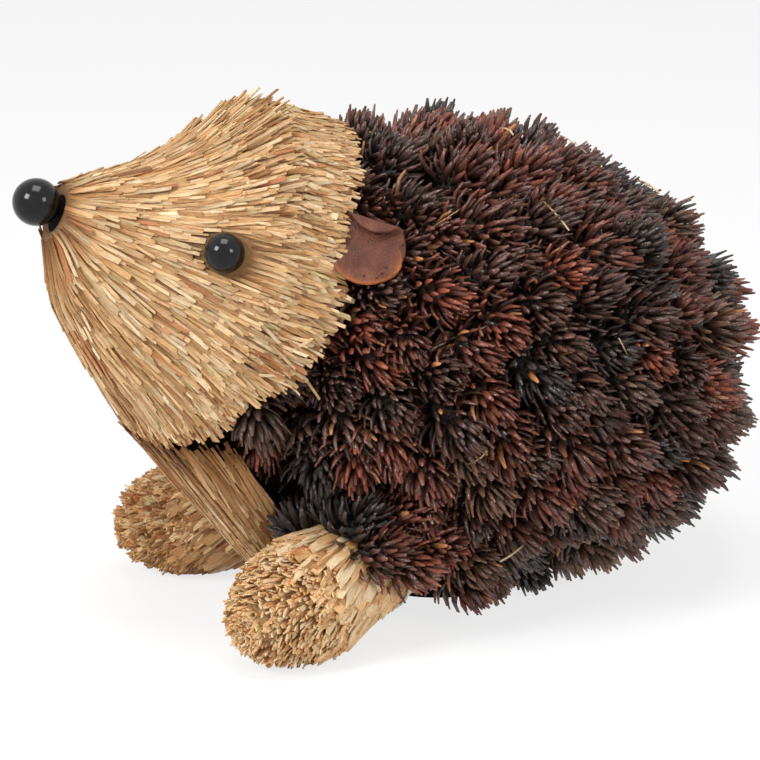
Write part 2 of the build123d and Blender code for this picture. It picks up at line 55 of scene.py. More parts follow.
# %% [markdown]
# The camera comes first, so that every render can be laid beside the photograph. It stands
# to the left of the nose and a little above, far off, with a long lens.

# %% Camera
camera_azimuth = radians(-24.8)
camera_elevation = radians(16.0)
camera_distance = 1.3
camera_lens = 146.6
camera_target = Vector((-0.038, 0, 0.0936))

camera_back = Vector((
    sin(camera_azimuth) * cos(camera_elevation),
    -cos(camera_azimuth) * cos(camera_elevation),
    sin(camera_elevation),
))
bpy.ops.object.camera_add(location=camera_target + camera_back * camera_distance)
camera = bpy.context.object
camera.rotation_mode = "QUATERNION"
camera.rotation_quaternion = (-camera_back).to_track_quat("-Z", "Y")
camera.data.lens = camera_lens
bpy.context.scene.camera = camera
bpy.context.scene.view_settings.view_transform = "Standard"
print("camera stands", camera_distance, "m away")

# %% [markdown]
# Two soft boxes stand left and right of the camera: both show as small squares in the bead
# eyes. A third, overhead, lights the tops of the cones.

# %% Soft boxes
box_distance = 1.6
light_boxes = (
    ("left_box", -50.0, 34.0, 0.50, 15.0),
    ("right_box", 42.0, 24.0, 0.45, 6.0),
    ("top_box", -10.0, 80.0, 0.80, 13.0),
)


def direction_from(azimuth, elevation):
    """Unit vector from the object towards a lamp, measured from the camera's azimuth."""
    turn = camera_azimuth + radians(azimuth)
    rise = radians(elevation)
    return Vector((sin(turn) * cos(rise), -cos(turn) * cos(rise), sin(rise)))


for name, azimuth, elevation, size, watts in light_boxes:
    towards = direction_from(azimuth, elevation)
    bpy.ops.object.light_add(type="AREA", location=camera_target + towards * box_distance)
    lamp = bpy.context.object
    lamp.name = name
    lamp.rotation_mode = "QUATERNION"
    lamp.rotation_quaternion = (-towards).to_track_quat("-Z", "Y")
    lamp.data.size = size
    lamp.data.energy = watts
print(len(light_boxes), "soft boxes")

# %% [markdown]
# Shader sums read best as plain arithmetic. A small class wraps a node socket and overloads
# the operators, and one method of the finish makes every other node.


# %% Shader arithmetic
class Shade:
    """A node socket that can stand in a sum."""

    def __init__(self, finish, socket):
        self.finish = finish
        self.socket = socket

    def sum_with(self, operation, first, second):
        return self.finish.node("ShaderNodeMath", {"operation": operation}, {0: first, 1: second})

    def __add__(self, other):
        return self.sum_with("ADD", self, other)

    def __radd__(self, other):
        return self.sum_with("ADD", other, self)

    def __sub__(self, other):
        return self.sum_with("SUBTRACT", self, other)

    def __rsub__(self, other):
        return self.sum_with("SUBTRACT", other, self)

    def __mul__(self, other):
        return self.sum_with("MULTIPLY", self, other)

    def __rmul__(self, other):
        return self.sum_with("MULTIPLY", other, self)

    def __gt__(self, other):
        return self.sum_with("GREATER_THAN", self, other)


class Finish:
    """A material with one main shader, built node by node."""

    def __init__(self, name, **constants):
        self.material = bpy.data.materials.new(name)
        self.material.use_nodes = True
        self.tree = self.material.node_tree
        self.surface = self.tree.nodes["Principled BSDF"]
        for socket, value in constants.items():
            self.surface.inputs[socket.replace("_", " ")].default_value = value

    def node(self, kind, settings, values, output=0):
        made = self.tree.nodes.new(kind)
        for key, value in settings.items():
            if key == "stops":
                self.set_stops(made.color_ramp, value)
            else:
                setattr(made, key, value)
        for key, value in values.items():
            self.feed(made.inputs[key], value)
        return Shade(self, made.outputs[output])

    def feed(self, socket, value):
        if isinstance(value, Shade):
            self.tree.links.new(value.socket, socket)
        else:
            socket.default_value = value

    def set_stops(self, ramp, stops):
        while len(ramp.elements) < len(stops):
            ramp.elements.new(0.5)
        for element, (place, colour) in zip(ramp.elements, stops):
            element.position = place
            element.color = (*colour, 1.0)

    def surface_gets(self, **links):
        for socket, value in links.items():
            self.feed(self.surface.inputs[socket.replace("_", " ")], value)

    def ramp(self, factor, *stops):
        return self.node("ShaderNodeValToRGB", {"stops": stops}, {"Fac": factor}, "Color")

    def mix(self, factor, first, second, how="MIX"):
        settings = {"data_type": "RGBA", "blend_type": how}
        return self.node("ShaderNodeMix", settings, {0: factor, 6: first, 7: second}, 2)

    def place(self, scale, uv=None):
        """Object coordinates, or a UV map, stretched by scale."""
        if uv:
            where = self.node("ShaderNodeUVMap", {"uv_map": uv}, {}, "UV")
        else:
            where = self.node("ShaderNodeTexCoord", {}, {}, "Object")
        return self.node("ShaderNodeMapping", {}, {"Vector": where, "Scale": scale})

    def grain(self, where, scale, detail=3.0, rough=0.55):
        values = {"Vector": where, "Scale": scale, "Detail": detail, "Roughness": rough}
        return self.node("ShaderNodeTexNoise", {}, values, 0)

    def bump(self, height, depth, strength=1.0):
        values = {"Height": height, "Distance": depth, "Strength": strength}
        return self.node("ShaderNodeBump", {}, values)


def grey(level):
    """The same value on all three channels."""
    return (level, level, level)


print("shader arithmetic ready")

# %% [markdown]
# Floor and sky are only the stage. The camera sees them nearly white, but they light the
# object at a plain level, and the floor keeps a soft shadow.

# %% Stage
floor_half = 4.0
sky_light = 0.42
floor_shadow_share = 0.30
floor_glow = 1.08
floor_grey = 0.86

world = bpy.data.worlds.new("studio")
bpy.context.scene.world = world
world.use_nodes = True
sky_tree = world.node_tree
sky = sky_tree.nodes["Background"]
sky.inputs["Color"].default_value = (1, 1, 1, 1)
ray = sky_tree.nodes.new("ShaderNodeLightPath")
seen = sky_tree.nodes.new("ShaderNodeMath")
seen.operation = "MAXIMUM"
mirrored = sky_tree.nodes.new("ShaderNodeMath")
mirrored.operation = "MAXIMUM"
sky_tree.links.new(ray.outputs["Is Glossy Ray"], mirrored.inputs[0])
sky_tree.links.new(ray.outputs["Is Transmission Ray"], mirrored.inputs[1])
sky_tree.links.new(ray.outputs["Is Camera Ray"], seen.inputs[0])
sky_tree.links.new(mirrored.outputs[0], seen.inputs[1])
level = sky_tree.nodes.new("ShaderNodeMapRange")
level.inputs["To Min"].default_value = sky_light
level.inputs["To Max"].default_value = 1.0
sky_tree.links.new(seen.outputs[0], level.inputs["Value"])
sky_tree.links.new(level.outputs["Result"], sky.inputs["Strength"])

bpy.ops.mesh.primitive_plane_add(size=2 * floor_half)
floor = bpy.context.object
floor.name = "floor"
floor_finish = Finish("floor_paper", Roughness=0.9)
floor_finish.surface.inputs["Base Color"].default_value = (*grey(floor_grey), 1)
floor_finish.surface.inputs["Specular IOR Level"].default_value = 0.0
glow = floor_finish.tree.nodes.new("ShaderNodeEmission")
glow.inputs["Strength"].default_value = floor_glow
blend = floor_finish.tree.nodes.new("ShaderNodeMixShader")
paths = [
    floor_finish.node("ShaderNodeLightPath", {}, {}, kind)
    for kind in ("Is Camera Ray", "Is Glossy Ray", "Is Transmission Ray")
]
output = floor_finish.tree.nodes["Material Output"]
floor_finish.feed(blend.inputs[0], paths[0] * (1 - floor_shadow_share) + paths[1] + paths[2])
floor_finish.tree.links.new(floor_finish.surface.outputs[0], blend.inputs[1])
floor_finish.tree.links.new(glow.outputs[0], blend.inputs[2])
floor_finish.tree.links.new(blend.outputs[0], output.inputs["Surface"])
floor.data.materials.append(floor_finish.material)
print("stage ready")

# %% [markdown]
# Straw is split reed: flat, pale gold, with fine lines along it. Each straw carries its own
# tint in an attribute, and how far along the straw a point lies in that attribute's alpha.
# The lines are noise stretched along the straw's own UV map. Roots are painted darker than
# tips: painted shade, for a real root sits deep among its neighbours.


# %% Straw finish
def straw_finish(name, shade):
    """Reed straw, with the whole bundle painted lighter or darker by shade: painted light, for lit and
    shaded copies of one straw.
    """
    finish = Finish(name)
    finish.surface.inputs["Specular IOR Level"].default_value = 0.25
    tint = finish.node("ShaderNodeAttribute", {"attribute_name": "tint"}, {}, "Color")
    along = finish.node("ShaderNodeAttribute", {"attribute_name": "tint"}, {}, "Alpha")
    lines = finish.grain(finish.place((7.0, 0.35, 1.0), "length_map"), 1.0, 4.0)
    specks = finish.grain(finish.place((1.6, 0.9, 1.0), "length_map"), 2.2, 2.0)
    streak = finish.ramp(
        lines, (0.30, grey(0.50 * shade)), (0.5, grey(0.90 * shade)), (0.72, grey(1.18 * shade))
    )
    tinted = finish.mix(1.0, tint, streak, "MULTIPLY")
    # Painted shade: every straw is darkened towards its root, deep among its neighbours.
    root = finish.ramp(
        along,
        (0.0, (0.34, 0.23, 0.14)), (0.4, (0.78, 0.68, 0.56)), (0.85, grey(1.0)), (1.0, (0.95, 0.90, 0.82)),
    )
    root_shaded = finish.mix(1.0, tinted, root, "MULTIPLY")
    flecked = finish.mix((specks > 0.70) * 0.55, root_shaded, (0.16, 0.085, 0.04, 1))
    finish.surface_gets(
        Base_Color=flecked,
        Roughness=0.42 + lines * 0.3,
        Normal=finish.bump(lines, 0.0002, 0.8),
    )
    return finish.material


straw_gold = straw_finish("straw_gold", 1.0)
# straw_shaded is the far paw's copy of the straw, with its own level of painted light.
straw_shaded = straw_finish("straw_shaded", 1.02)
print("straw finishes made")

# %% [markdown]
# The cones are varnished: dark wood with a patchy shine, dusty in places, and small dried
# drops, whose glints are painted into the colour as pale specks. Each scale is painted darker
# towards its root as painted shade deep in the cone, and paler at its tip. Tint again comes
# from an attribute, one colour for each cone.

# %% Pine cone finish
cone_finish = Finish("varnished_pine_cone")
cone_finish.surface.inputs["Coat Roughness"].default_value = 0.16
cone_finish.surface.inputs["Specular IOR Level"].default_value = 0.38
cone_tint = cone_finish.node("ShaderNodeAttribute", {"attribute_name": "tint"}, {}, "Color")
cone_along = cone_finish.node("ShaderNodeAttribute", {"attribute_name": "tint"}, {}, "Alpha")
scale_lines = cone_finish.grain(cone_finish.place((5.0, 0.6, 1.0), "length_map"), 1.0, 4.0)
cone_patches = cone_finish.grain(cone_finish.place((1, 1, 1)), 130.0, 3.0)
cone_drops = cone_finish.grain(cone_finish.place((1, 1, 1)), 1500.0, 1.0)
line_shade = cone_finish.ramp(scale_lines, (0.30, grey(0.40)), (0.55, grey(1.0)), (0.75, grey(1.7)))
# Painted shade: each scale is darkened towards its root, deep in the cone, and made paler at its tip.
root_shade_and_pale_tip = cone_finish.ramp(
    cone_along, (0.0, grey(0.16)), (0.45, grey(0.62)), (0.8, grey(1.15)), (1.0, grey(1.7))
)
lined_wood = cone_finish.mix(1.0, cone_tint, line_shade, "MULTIPLY")
cone_wood = cone_finish.mix(1.0, lined_wood, root_shade_and_pale_tip, "MULTIPLY")
dust_share = (cone_patches > 0.63) * cone_along * 0.10
cone_dusty = cone_finish.mix(dust_share, cone_wood, (0.30, 0.25, 0.22, 1))
# Painted glints: pale specks on the dried drops stand in for their highlights.
painted_glint_share = (cone_drops > 0.70) * (cone_patches > 0.52)
cone_with_painted_glints = cone_finish.mix(painted_glint_share, cone_dusty, (0.50, 0.45, 0.43, 1))
cone_finish.surface_gets(
    Base_Color=cone_with_painted_glints,
    Roughness=0.62 - cone_patches * 0.35,
    Coat_Weight=(cone_patches > 0.50) * 0.6,
    Normal=cone_finish.bump(scale_lines + cone_drops * 0.9, 0.00045, 1.0),
)
print("cone finish made")

# %% [markdown]
# Leather, beads, foam, wood, wire and glue are small areas, but each gets its own pattern.


# %% Other finishes
def patterned(name, first, second, scale, roughness, depth, **constants):
    """A finish of two colours mixed by noise, with a matching bump."""
    finish = Finish(name, **constants)
    cloud = finish.grain(finish.place((1, 1, 1)), scale, 4.0)
    colour = finish.ramp(cloud, (0.35, first), (0.65, second))
    finish.surface_gets(
        Base_Color=colour,
        Roughness=roughness + cloud * 0.15,
        Normal=finish.bump(cloud, depth, 0.7),
    )
    return finish.material


bead_black = patterned("bead_black", grey(0.003), grey(0.006), 300.0, 0.05, 0.00002, Specular_IOR_Level=0.3)
# The foam is near black, and it shows in the gaps between the cones.
foam_brown = patterned(
    "near_black_foam", (0.006, 0.003, 0.002), (0.014, 0.007, 0.004), 420.0, 0.8, 0.0006, Specular_IOR_Level=0.1
)
dowel_wood = patterned("dowel_wood", (0.50, 0.33, 0.18), (0.62, 0.44, 0.26), 180.0, 0.5, 0.0001)
wire_grey = patterned("tie_wire", grey(0.35), grey(0.5), 700.0, 0.25, 0.00003, Metallic=1.0)
glue_amber = patterned(
    "amber_glue", (0.16, 0.06, 0.015), (0.28, 0.12, 0.03), 240.0, 0.2, 0.0002, Coat_Weight=0.4
)

leather = Finish("oiled_leather")
leather.surface.inputs["Specular IOR Level"].default_value = 0.3
leather_edge = leather.node("ShaderNodeAttribute", {"attribute_name": "edge"}, {}, "Fac")
leather_cloud = leather.grain(leather.place((1, 1, 1)), 110.0, 5.0)
leather_creases = leather.node(
    "ShaderNodeTexVoronoi",
    {"feature": "DISTANCE_TO_EDGE"},
    {"Vector": leather.place((1, 1, 1)), "Scale": 620.0},
)
leather_face = leather.ramp(
    leather_cloud,
    (0.28, (0.060, 0.018, 0.010)), (0.55, (0.125, 0.040, 0.021)), (0.78, (0.20, 0.075, 0.042)),
)
leather.surface_gets(
    Base_Color=leather.mix(leather_edge * 0.85, leather_face, (0.40, 0.115, 0.028, 1)),
    Roughness=0.42 + leather_cloud * 0.28,
    Normal=leather.bump(leather_cloud * 0.8 + leather_creases * 2.0, 0.0005, 0.6),
)
print("leather, bead, foam, wood, wire and glue made")

# %% [markdown]
# The head is a bell, given at seven stations back from the snout: how far it rises, spreads
# and drops there. Its rim is a slanted plane. The egg of the body leans nose up. These are
# the same sizes as in the measured model, and the nose bead anchors them to it.

# %% Layout of head and body
across = Vector((0, 1, 0))
head_pitch = radians(23.5)
rim_tilt = radians(9.0)
head_axis = Vector((cos(head_pitch), 0, -sin(head_pitch)))
head_up = Vector((sin(head_pitch), 0, cos(head_pitch)))
rim_normal = Vector((cos(head_pitch + rim_tilt), 0, -sin(head_pitch + rim_tilt)))
head_length = 104 * MM
head_rise = 70 * MM
head_half_width = 64 * MM
head_drop = 95 * MM
rim_station = 0.894 * head_length
station_shares = (0.03, 0.13, 0.27, 0.40, 0.54, 0.69, 1.00)
rise_shares = (0.16, 0.25, 0.37, 0.53, 0.76, 0.97, 1.00)
width_shares = (0.18, 0.27, 0.41, 0.58, 0.80, 1.00, 1.00)
drop_shares = (0.15, 0.35, 0.49, 0.60, 0.69, 0.81, 1.00)
stations = [share * head_length for share in station_shares]

nose_low, nose_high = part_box("nose_bead")
nose_radius = (nose_high.y - nose_low.y) / 2
nose_centre = Vector((nose_low.x + nose_radius, 0, nose_high.z - nose_radius))
snout = nose_centre + head_axis * (nose_radius + 0.2 * MM - stations[0])
rim_origin = snout + head_axis * rim_station

body_centre = Vector((0, 0, 103 * MM))
body_length = 214 * MM
body_diameter = 151 * MM
body_pitch = radians(17)
body_axis = Vector((cos(body_pitch), 0, -sin(body_pitch)))
body_up = Vector((sin(body_pitch), 0, cos(body_pitch)))


def head_sizes(distance):
    """Rise, half width and drop at a distance back from the snout."""
    tables = ((head_rise, rise_shares), (head_half_width, width_shares), (head_drop, drop_shares))
    return [np.interp(distance, stations, [full * share for share in shares]) for full, shares in tables]


def head_point(distance, angle, lift=0.0):
    """A point on the head, angle in degrees from the top towards +Y, raised by lift."""
    rise, half_width, drop = head_sizes(distance)
    turn = radians(angle)
    height = (rise if cos(turn) >= 0 else drop) * cos(turn)
    outward = head_up * cos(turn) + across * sin(turn)
    centre = snout + head_axis * distance
    return centre + head_up * height + across * (half_width * sin(turn)) + outward * lift


def rim_distance(angle):
    """How far back the rim lies at an angle."""
    distance = rim_station
    for step in range(3):
        height = (head_point(distance, angle) - snout).dot(head_up)
        distance = rim_station + height * tan(rim_tilt)
    return distance


rim_ends = [round(rim_distance(angle) / MM) for angle in (180, 0)]
print("snout at", [round(c / MM) for c in snout], "rim from", rim_ends[0], "to", rim_ends[1])

# %% [markdown]
# Thousands of straws and cone scales are copies of two patterns. Each pattern is modelled
# from a primitive: x goes across it, y is its thickness and z runs along it, from 0 to 1.
# Bisecting slices it straight across, so that no face is divided that needn't be.
# Copying is left to arrays of numbers, because thousands of separate objects would be slow.


# %% Patterns
def start_with(primitive):
    """Deselect everything, add a primitive and go into edit mode."""
    bpy.ops.object.select_all(action="DESELECT")
    primitive()
    bpy.ops.object.mode_set(mode="EDIT")
    bpy.ops.mesh.select_mode(type="VERT")


def slice_across(cuts):
    """Cut the pattern into even rows along z, so that it can taper and bend."""
    for number in range(cuts):
        height = (number + 1) / (cuts + 1) - 0.5
        bpy.ops.mesh.select_all(action="SELECT")
        bpy.ops.mesh.bisect(plane_co=(0, 0, height), plane_no=(0, 0, 1))


def size_rows(widths, depths):
    """Scale each row of the pattern, from root to tip."""
    bpy.ops.object.mode_set(mode="OBJECT")
    for vertex in bpy.context.object.data.vertices:
        row = round((vertex.co.z + 0.5) * (len(widths) - 1))
        vertex.co.x *= widths[row]
        vertex.co.y *= depths[row]
        vertex.co.z += 0.5


def turn_faces_out():
    """Make the active object's faces point outwards."""
    bpy.ops.object.mode_set(mode="EDIT")
    bpy.ops.mesh.select_all(action="SELECT")
    bpy.ops.mesh.normals_make_consistent(inside=False)
    bpy.ops.object.mode_set(mode="OBJECT")


def taken(name):
    """The finished pattern as points and faces. Its object goes."""
    pattern = bpy.context.object
    points = np.array([vertex.co for vertex in pattern.data.vertices])
    faces = [tuple(polygon.vertices) for polygon in pattern.data.polygons]
    bpy.data.objects.remove(pattern)
    print(name, "pattern has", len(points), "points and", len(faces), "faces")
    return points, faces


start_with(lambda: bpy.ops.mesh.primitive_cube_add(size=1))
slice_across(2)
size_rows((0.85, 1.0, 1.0, 0.9), (0.8, 1.0, 1.0, 0.9))
straw_pattern = taken("straw")

start_with(lambda: bpy.ops.mesh.primitive_cylinder_add(vertices=5, radius=0.5, depth=1))
slice_across(2)
size_rows((0.6, 0.97, 0.96, 0.40), (0.9, 1.0, 0.97, 0.45))
scale_pattern = taken("cone scale")

start_with(lambda: bpy.ops.mesh.primitive_cylinder_add(vertices=8, radius=0.5, depth=1))
slice_across(3)
size_rows((0.5, 1.0, 0.95, 0.6, 0.12), (0.5, 1.0, 0.95, 0.6, 0.12))
bud_pattern = taken("cone bud")

# %% [markdown]
# Laying a copy needs its root, its run to the tip, the direction across it, its width and
# thickness, and how far its middle bends off the straight line.

# %% Laying copies
rng = np.random.default_rng(7)
floor_gap = 0.4 * MM
cut_row_from = 0.99


class Bundle:
    """Copies of one pattern that are gathered into one mesh."""

    def __init__(self, pattern):
        self.pattern = pattern
        self.rows = []
        self.tints = []

    def lay(self, root, tip, side, width, thickness, tint, bend=(0, 0, 0), slant=0.0):
        self.rows.append((*root, *tip, *side, width, thickness, *bend, slant))
        self.tints.append(tint)

    def arrays(self):
        """Points, faces, tints and length map of all the copies."""
        points, faces = self.pattern
        rows = np.array(self.rows, float)
        root, tip, side = rows[:, 0:3], rows[:, 3:6], rows[:, 6:9]
        width, thickness, bend, slant = rows[:, 9], rows[:, 10], rows[:, 11:14], rows[:, 14]
        run = tip - root
        length = np.linalg.norm(run, axis=1)
        forward = run / length[:, None]
        side = side - forward * np.sum(side * forward, axis=1)[:, None]
        side /= np.linalg.norm(side, axis=1)[:, None]
        lift = np.cross(forward, side)
        x, y, z = points[None, :, 0], points[None, :, 1], points[None, :, 2]
        slip = z + (z > cut_row_from) * x * slant[:, None] * (width / length)[:, None]
        placed = (
            root[:, None] + run[:, None] * slip[..., None]
            + bend[:, None] * (4 * z * (1 - z))[..., None]
            + side[:, None] * (x * width[:, None])[..., None]
            + lift[:, None] * (y * thickness[:, None])[..., None]
        ).reshape(-1, 3)
        placed[:, 2] = np.maximum(placed[:, 2], floor_gap)
        count = len(points)
        starts = range(0, len(rows) * count, count)
        joined = [tuple(index + start for index in face) for start in starts for face in faces]
        tints = np.ones((len(rows), count, 4))
        tints[..., :3] = np.array(self.tints)[:, None]
        tints[..., 3] = z
        offset = rng.uniform(0, 90, (len(rows), 2))
        maps = np.empty((len(rows), count, 2))
        maps[..., 0] = x * (width / MM)[:, None] + offset[:, :1]
        maps[..., 1] = z * (length / MM)[:, None] + offset[:, 1:]
        return placed, joined, tints.reshape(-1, 4), maps.reshape(-1, 2)


def gathered(name, *sources):
    """One object from bundles and from (points, faces, tint) solids."""
    points, faces, tints, maps = [], [], [], []
    start = 0
    for source in sources:
        if isinstance(source, Bundle):
            part = source.arrays()
        else:
            solid_points, solid_faces, tint = source
            count = len(solid_points)
            part = (
                np.array(solid_points), solid_faces,
                np.tile((*tint, 0.5), (count, 1)), np.array(solid_points)[:, [1, 0]] / MM,
            )
        points.append(part[0])
        faces += [tuple(index + start for index in face) for face in part[1]]
        tints.append(part[2])
        maps.append(part[3])
        start += len(part[0])
    mesh = bpy.data.meshes.new(name)
    mesh.from_pydata(np.concatenate(points).tolist(), [], faces)
    colour = mesh.color_attributes.new(name="tint", type="FLOAT_COLOR", domain="POINT")
    colour.data.foreach_set("color", np.concatenate(tints).astype(np.float32).ravel())
    corners = np.empty(len(mesh.loops), np.int32)
    mesh.loops.foreach_get("vertex_index", corners)
    layer = mesh.uv_layers.new(name="length_map")
    layer.data.foreach_set("uv", np.concatenate(maps)[corners].astype(np.float32).ravel())
    made = bpy.data.objects.new(name, mesh)
    bpy.context.collection.objects.link(made)
    return made


def dress(piece, finish, slot, *nodes):
    """Give a finished piece its material and body, and hide the nodes that it stands for. The slot is not
    used.
    """
    piece.data.materials.clear()
    piece.data.materials.append(finish)
    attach(piece, "root")
    if nodes:
        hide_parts(*nodes)
    print(piece.name, "has", len(piece.data.polygons), "faces")
    return piece


# %% [markdown]
# Reed is never one colour. Most straws are gold, some cream, some tan, and a few are brown,
# rusty or a little green. Tints are drawn at random from that list, with a fixed seed.

# %% Straw tints
straw_tints = np.array((
    (0.70, 0.44, 0.22), (0.76, 0.53, 0.30), (0.62, 0.36, 0.16), (0.50, 0.27, 0.11),
    (0.84, 0.65, 0.41), (0.34, 0.16, 0.06), (0.54, 0.22, 0.09), (0.64, 0.48, 0.23),
))
gold_odds = np.array((0.27, 0.24, 0.17, 0.10, 0.11, 0.04, 0.03, 0.04))
# Under the chin, on the bib and on the far paw the straws are drawn darker than on the head.
throat_odds = np.array((0.22, 0.14, 0.21, 0.18, 0.06, 0.08, 0.08, 0.03))
brown_odds = np.array((0.20, 0.12, 0.26, 0.20, 0.05, 0.08, 0.07, 0.02))
paw_odds = np.array((0.24, 0.27, 0.12, 0.07, 0.25, 0.02, 0.01, 0.02))


def straw_tint(odds):
    """One straw's colour, a little lighter or darker than its kind."""
    kind = rng.choice(len(straw_tints), p=odds / odds.sum())
    return straw_tints[kind] * rng.uniform(0.70, 1.18)


print(len(straw_tints), "straw colours")

# %% [markdown]
# The thatch: every straw starts flat on the foam and its cut tip stands a little proud of the
# row behind. Rows overlap four or five deep. Over the brow the straws stay straight where the
# head rounds off, so their tips stand up in a fringe. Under the chin they are longer.

# %% Thatch rules
row_pitch = 2.8 * MM
straw_pitch = 1.4 * MM
straw_widths = (0.8 * MM, 1.9 * MM)
straw_thickness = 0.5 * MM
straw_lengths = (13 * MM, 21 * MM)
throat_lengths = (24 * MM, 42 * MM)
tip_lift = (0.4 * MM, 2.2 * MM)
root_sink = 0.5 * MM
rim_overhang = 5.0 * MM
fringe_from = 42 * MM
fringe_to = 64 * MM
eye_socket = 1.5 * MM
rim_angles = (0, 20, 40, 60, 72, 80, 95, 105, 115, 125, 135, 145, 155, 180)
rim_reaches = (-1, -2, -3, -6, 0, 7, 14, 8, 0, -5, -4, -8, -11, -12)
cheek_flare = 3.5 * MM
stray_share = 0.035
fringe_angle = 62.0
fringe_lengths = (10, 19)
chin_half_angle = 48
chin_fade_angle = 60
short_until = 40 * MM
shortest_straw = 5 * MM
stray_band = 8 * MM
backing = 5.0 * MM
eye_radius = (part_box("eye_left")[1].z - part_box("eye_left")[0].z) / 2
eye_centres = [sum(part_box(node), Vector()) / 2 for node in ("eye_left", "eye_right")]


def clear_of_eyes(root, tip):
    """Whether a straw passes both eyes."""
    along = tip - root
    for centre in eye_centres:
        share = min(max((centre - root).dot(along) / along.length_squared, 0), 1)
        if (root + along * share - centre).length < eye_radius + eye_socket:
            return False
    return True


def thatch_end(angle):
    """How far back the straw may reach: past the rim over the cheeks, short of it above the ears."""
    return rim_distance(angle) + np.interp(min(angle, 360 - angle), rim_angles, rim_reaches) * MM


def thatch_straw(bundle, distance, angle):
    """One straw of the thatch, rooted at a distance back from the snout."""
    from_chin = abs(angle - 180)
    under = max(0.0, (from_chin < chin_half_angle) * (1 - from_chin / chin_fade_angle))
    lengths = throat_lengths if rng.random() < under else straw_lengths
    length = rng.uniform(*lengths) * min(1.0, 0.55 + distance / short_until)
    turn = rng.normal(0, 1.6)
    limit = thatch_end(angle)
    end = min(distance + length, limit + rng.uniform(-1.1, 0.9) * rim_overhang)
    if rng.random() < stray_share and end > limit - stray_band:
        end += rng.uniform(2, 7) * MM
        turn += rng.normal(0, 6)
    if end - distance < shortest_straw:
        return
    lift = rng.uniform(*tip_lift) * (1.6 if rng.random() < 0.05 else 1)
    if end > rim_distance(angle) and 85 < angle < 275:
        lift += rng.uniform(0.2, 1.0) * cheek_flare
    root = head_point(distance, angle, -root_sink)
    tip = head_point(end, angle + turn, lift)
    middle = head_point((distance + end) / 2, angle + turn / 2, lift * 0.4)
    from_top = min(angle, 360 - angle)
    if fringe_from < distance < fringe_to and from_top < fringe_angle and rng.random() < 0.5:
        slope = (head_point(distance, angle) - head_point(distance - 6 * MM, angle)).normalized()
        outward = head_point(distance, angle, 1.0) - head_point(distance, angle)
        rise = (slope + outward * rng.uniform(0.05, 0.6)).normalized()
        tip = root + rise * rng.uniform(*fringe_lengths) * MM
        middle = (root + tip) / 2
    if not clear_of_eyes(root, tip):
        return
    side = head_point(distance, angle + 1) - head_point(distance, angle - 1)
    side = side.normalized() + (tip - root).cross(side).normalized() * rng.normal(0, 0.28)
    odds = throat_odds if rng.random() < 2 * under else gold_odds
    width = rng.uniform(*straw_widths) * (1.5 if rng.random() < 0.06 else 1)
    bundle.lay(
        root, tip, side, width, straw_thickness * rng.uniform(0.7, 1.3),
        straw_tint(odds), middle - (root + tip) / 2, rng.normal(0, 0.5),
    )


print("rows every", row_pitch / MM, "mm")

# %% [markdown]
# Under each course lies its backing, the glued roots of the straw. It is a closed band, and a
# torus has the right build for it: its rings only have to be moved onto the head.

# %% Backing of a course
band_sides = 64
band_steps = 4
course_count = len(stations) - 1
backing_tint = (0.30, 0.17, 0.08)


def shrunk_point(distance, angle, shrink):
    """A point inside the head's outline."""
    rise, half_width, drop = head_sizes(distance)
    turn = radians(angle)
    height = ((rise if cos(turn) >= 0 else drop) - shrink) * cos(turn)
    centre = snout + head_axis * distance
    return centre + head_up * height + across * ((half_width - shrink) * sin(turn))


def course_backing(index):
    """The closed band under one course of straw."""
    minor = 2 * (band_steps + 1)
    bpy.ops.object.select_all(action="DESELECT")
    bpy.ops.mesh.primitive_torus_add(major_segments=band_sides, minor_segments=minor)
    band = bpy.context.object
    for number, vertex in enumerate(band.data.vertices):
        angle = 360 * (number // minor) / band_sides
        step = number % minor
        outer = step <= band_steps
        share = (step if outer else minor - 1 - step) / band_steps
        last = stations[index + 1]
        if index == course_count - 1:
            last = min(last, rim_distance(angle), thatch_end(angle) + 2 * MM)
        distance = stations[index] + share * (last - stations[index])
        vertex.co = shrunk_point(distance, angle, 0.3 * MM if outer else backing)
    turn_faces_out()
    points, faces = taken("backing")
    return points, faces, backing_tint


for index in range(course_count):
    course = Bundle(straw_pattern)
    start = stations[index] if index else stations[0] - 1 * MM
    for distance in np.arange(start, stations[index + 1], row_pitch):
        rise, half_width, drop = head_sizes(distance)
        around = pi * (half_width + (rise + drop) / 2)
        count = int(around / straw_pitch)
        for number in range(count):
            angle = 360 * (number + rng.uniform(-0.5, 0.5)) / count % 360
            here = distance + rng.uniform(-0.5, 0.5) * row_pitch
            if here < min(thatch_end(angle), rim_distance(angle) + 2 * MM) - 4 * MM:
                thatch_straw(course, here, angle)
    name = "head_straw_course_" + str(index + 1)
    piece = gathered("thatch_course_" + str(index + 1), course_backing(index), course)
    dress(piece, straw_gold, "straw", name)

# %% [markdown]
# The bib hangs from the chin to the paws: long straws side by side over a rounded backing.
# The backing starts as a grid that is laid on the bib's front and made solid.

# %% Bib
throat_low = Vector((-93 * MM, 0, 19 * MM))
throat_high = head_point(rim_distance(180), 180)
throat_slope = throat_high - throat_low
throat_half_widths = (13 * MM, 27 * MM)
throat_crown = 5 * MM
throat_outward = across.cross(throat_slope.normalized())
if throat_outward.x > 0:
    throat_outward = -throat_outward


def bib_half_width(share):
    """Half width of the bib at a share of its height."""
    return throat_half_widths[0] + share * (throat_half_widths[1] - throat_half_widths[0])


def bib_point(share, part, lift=0.0):
    """A point of the bib, share up its height. Part is across it, and past 1 along its flank."""
    middle = throat_low + throat_slope * share
    flat = min(max(part, -1), 1)
    past = abs(part) - abs(flat)
    half = bib_half_width(share)
    forward = throat_crown * flat * flat + past * half
    spot = middle + Vector((forward, half * (flat + 0.12 * (part - flat)), 0))
    outward =(throat_outward + across * flat * abs(flat) ** 3 * (0.6 + past)).normalized()
    return spot + outward * lift


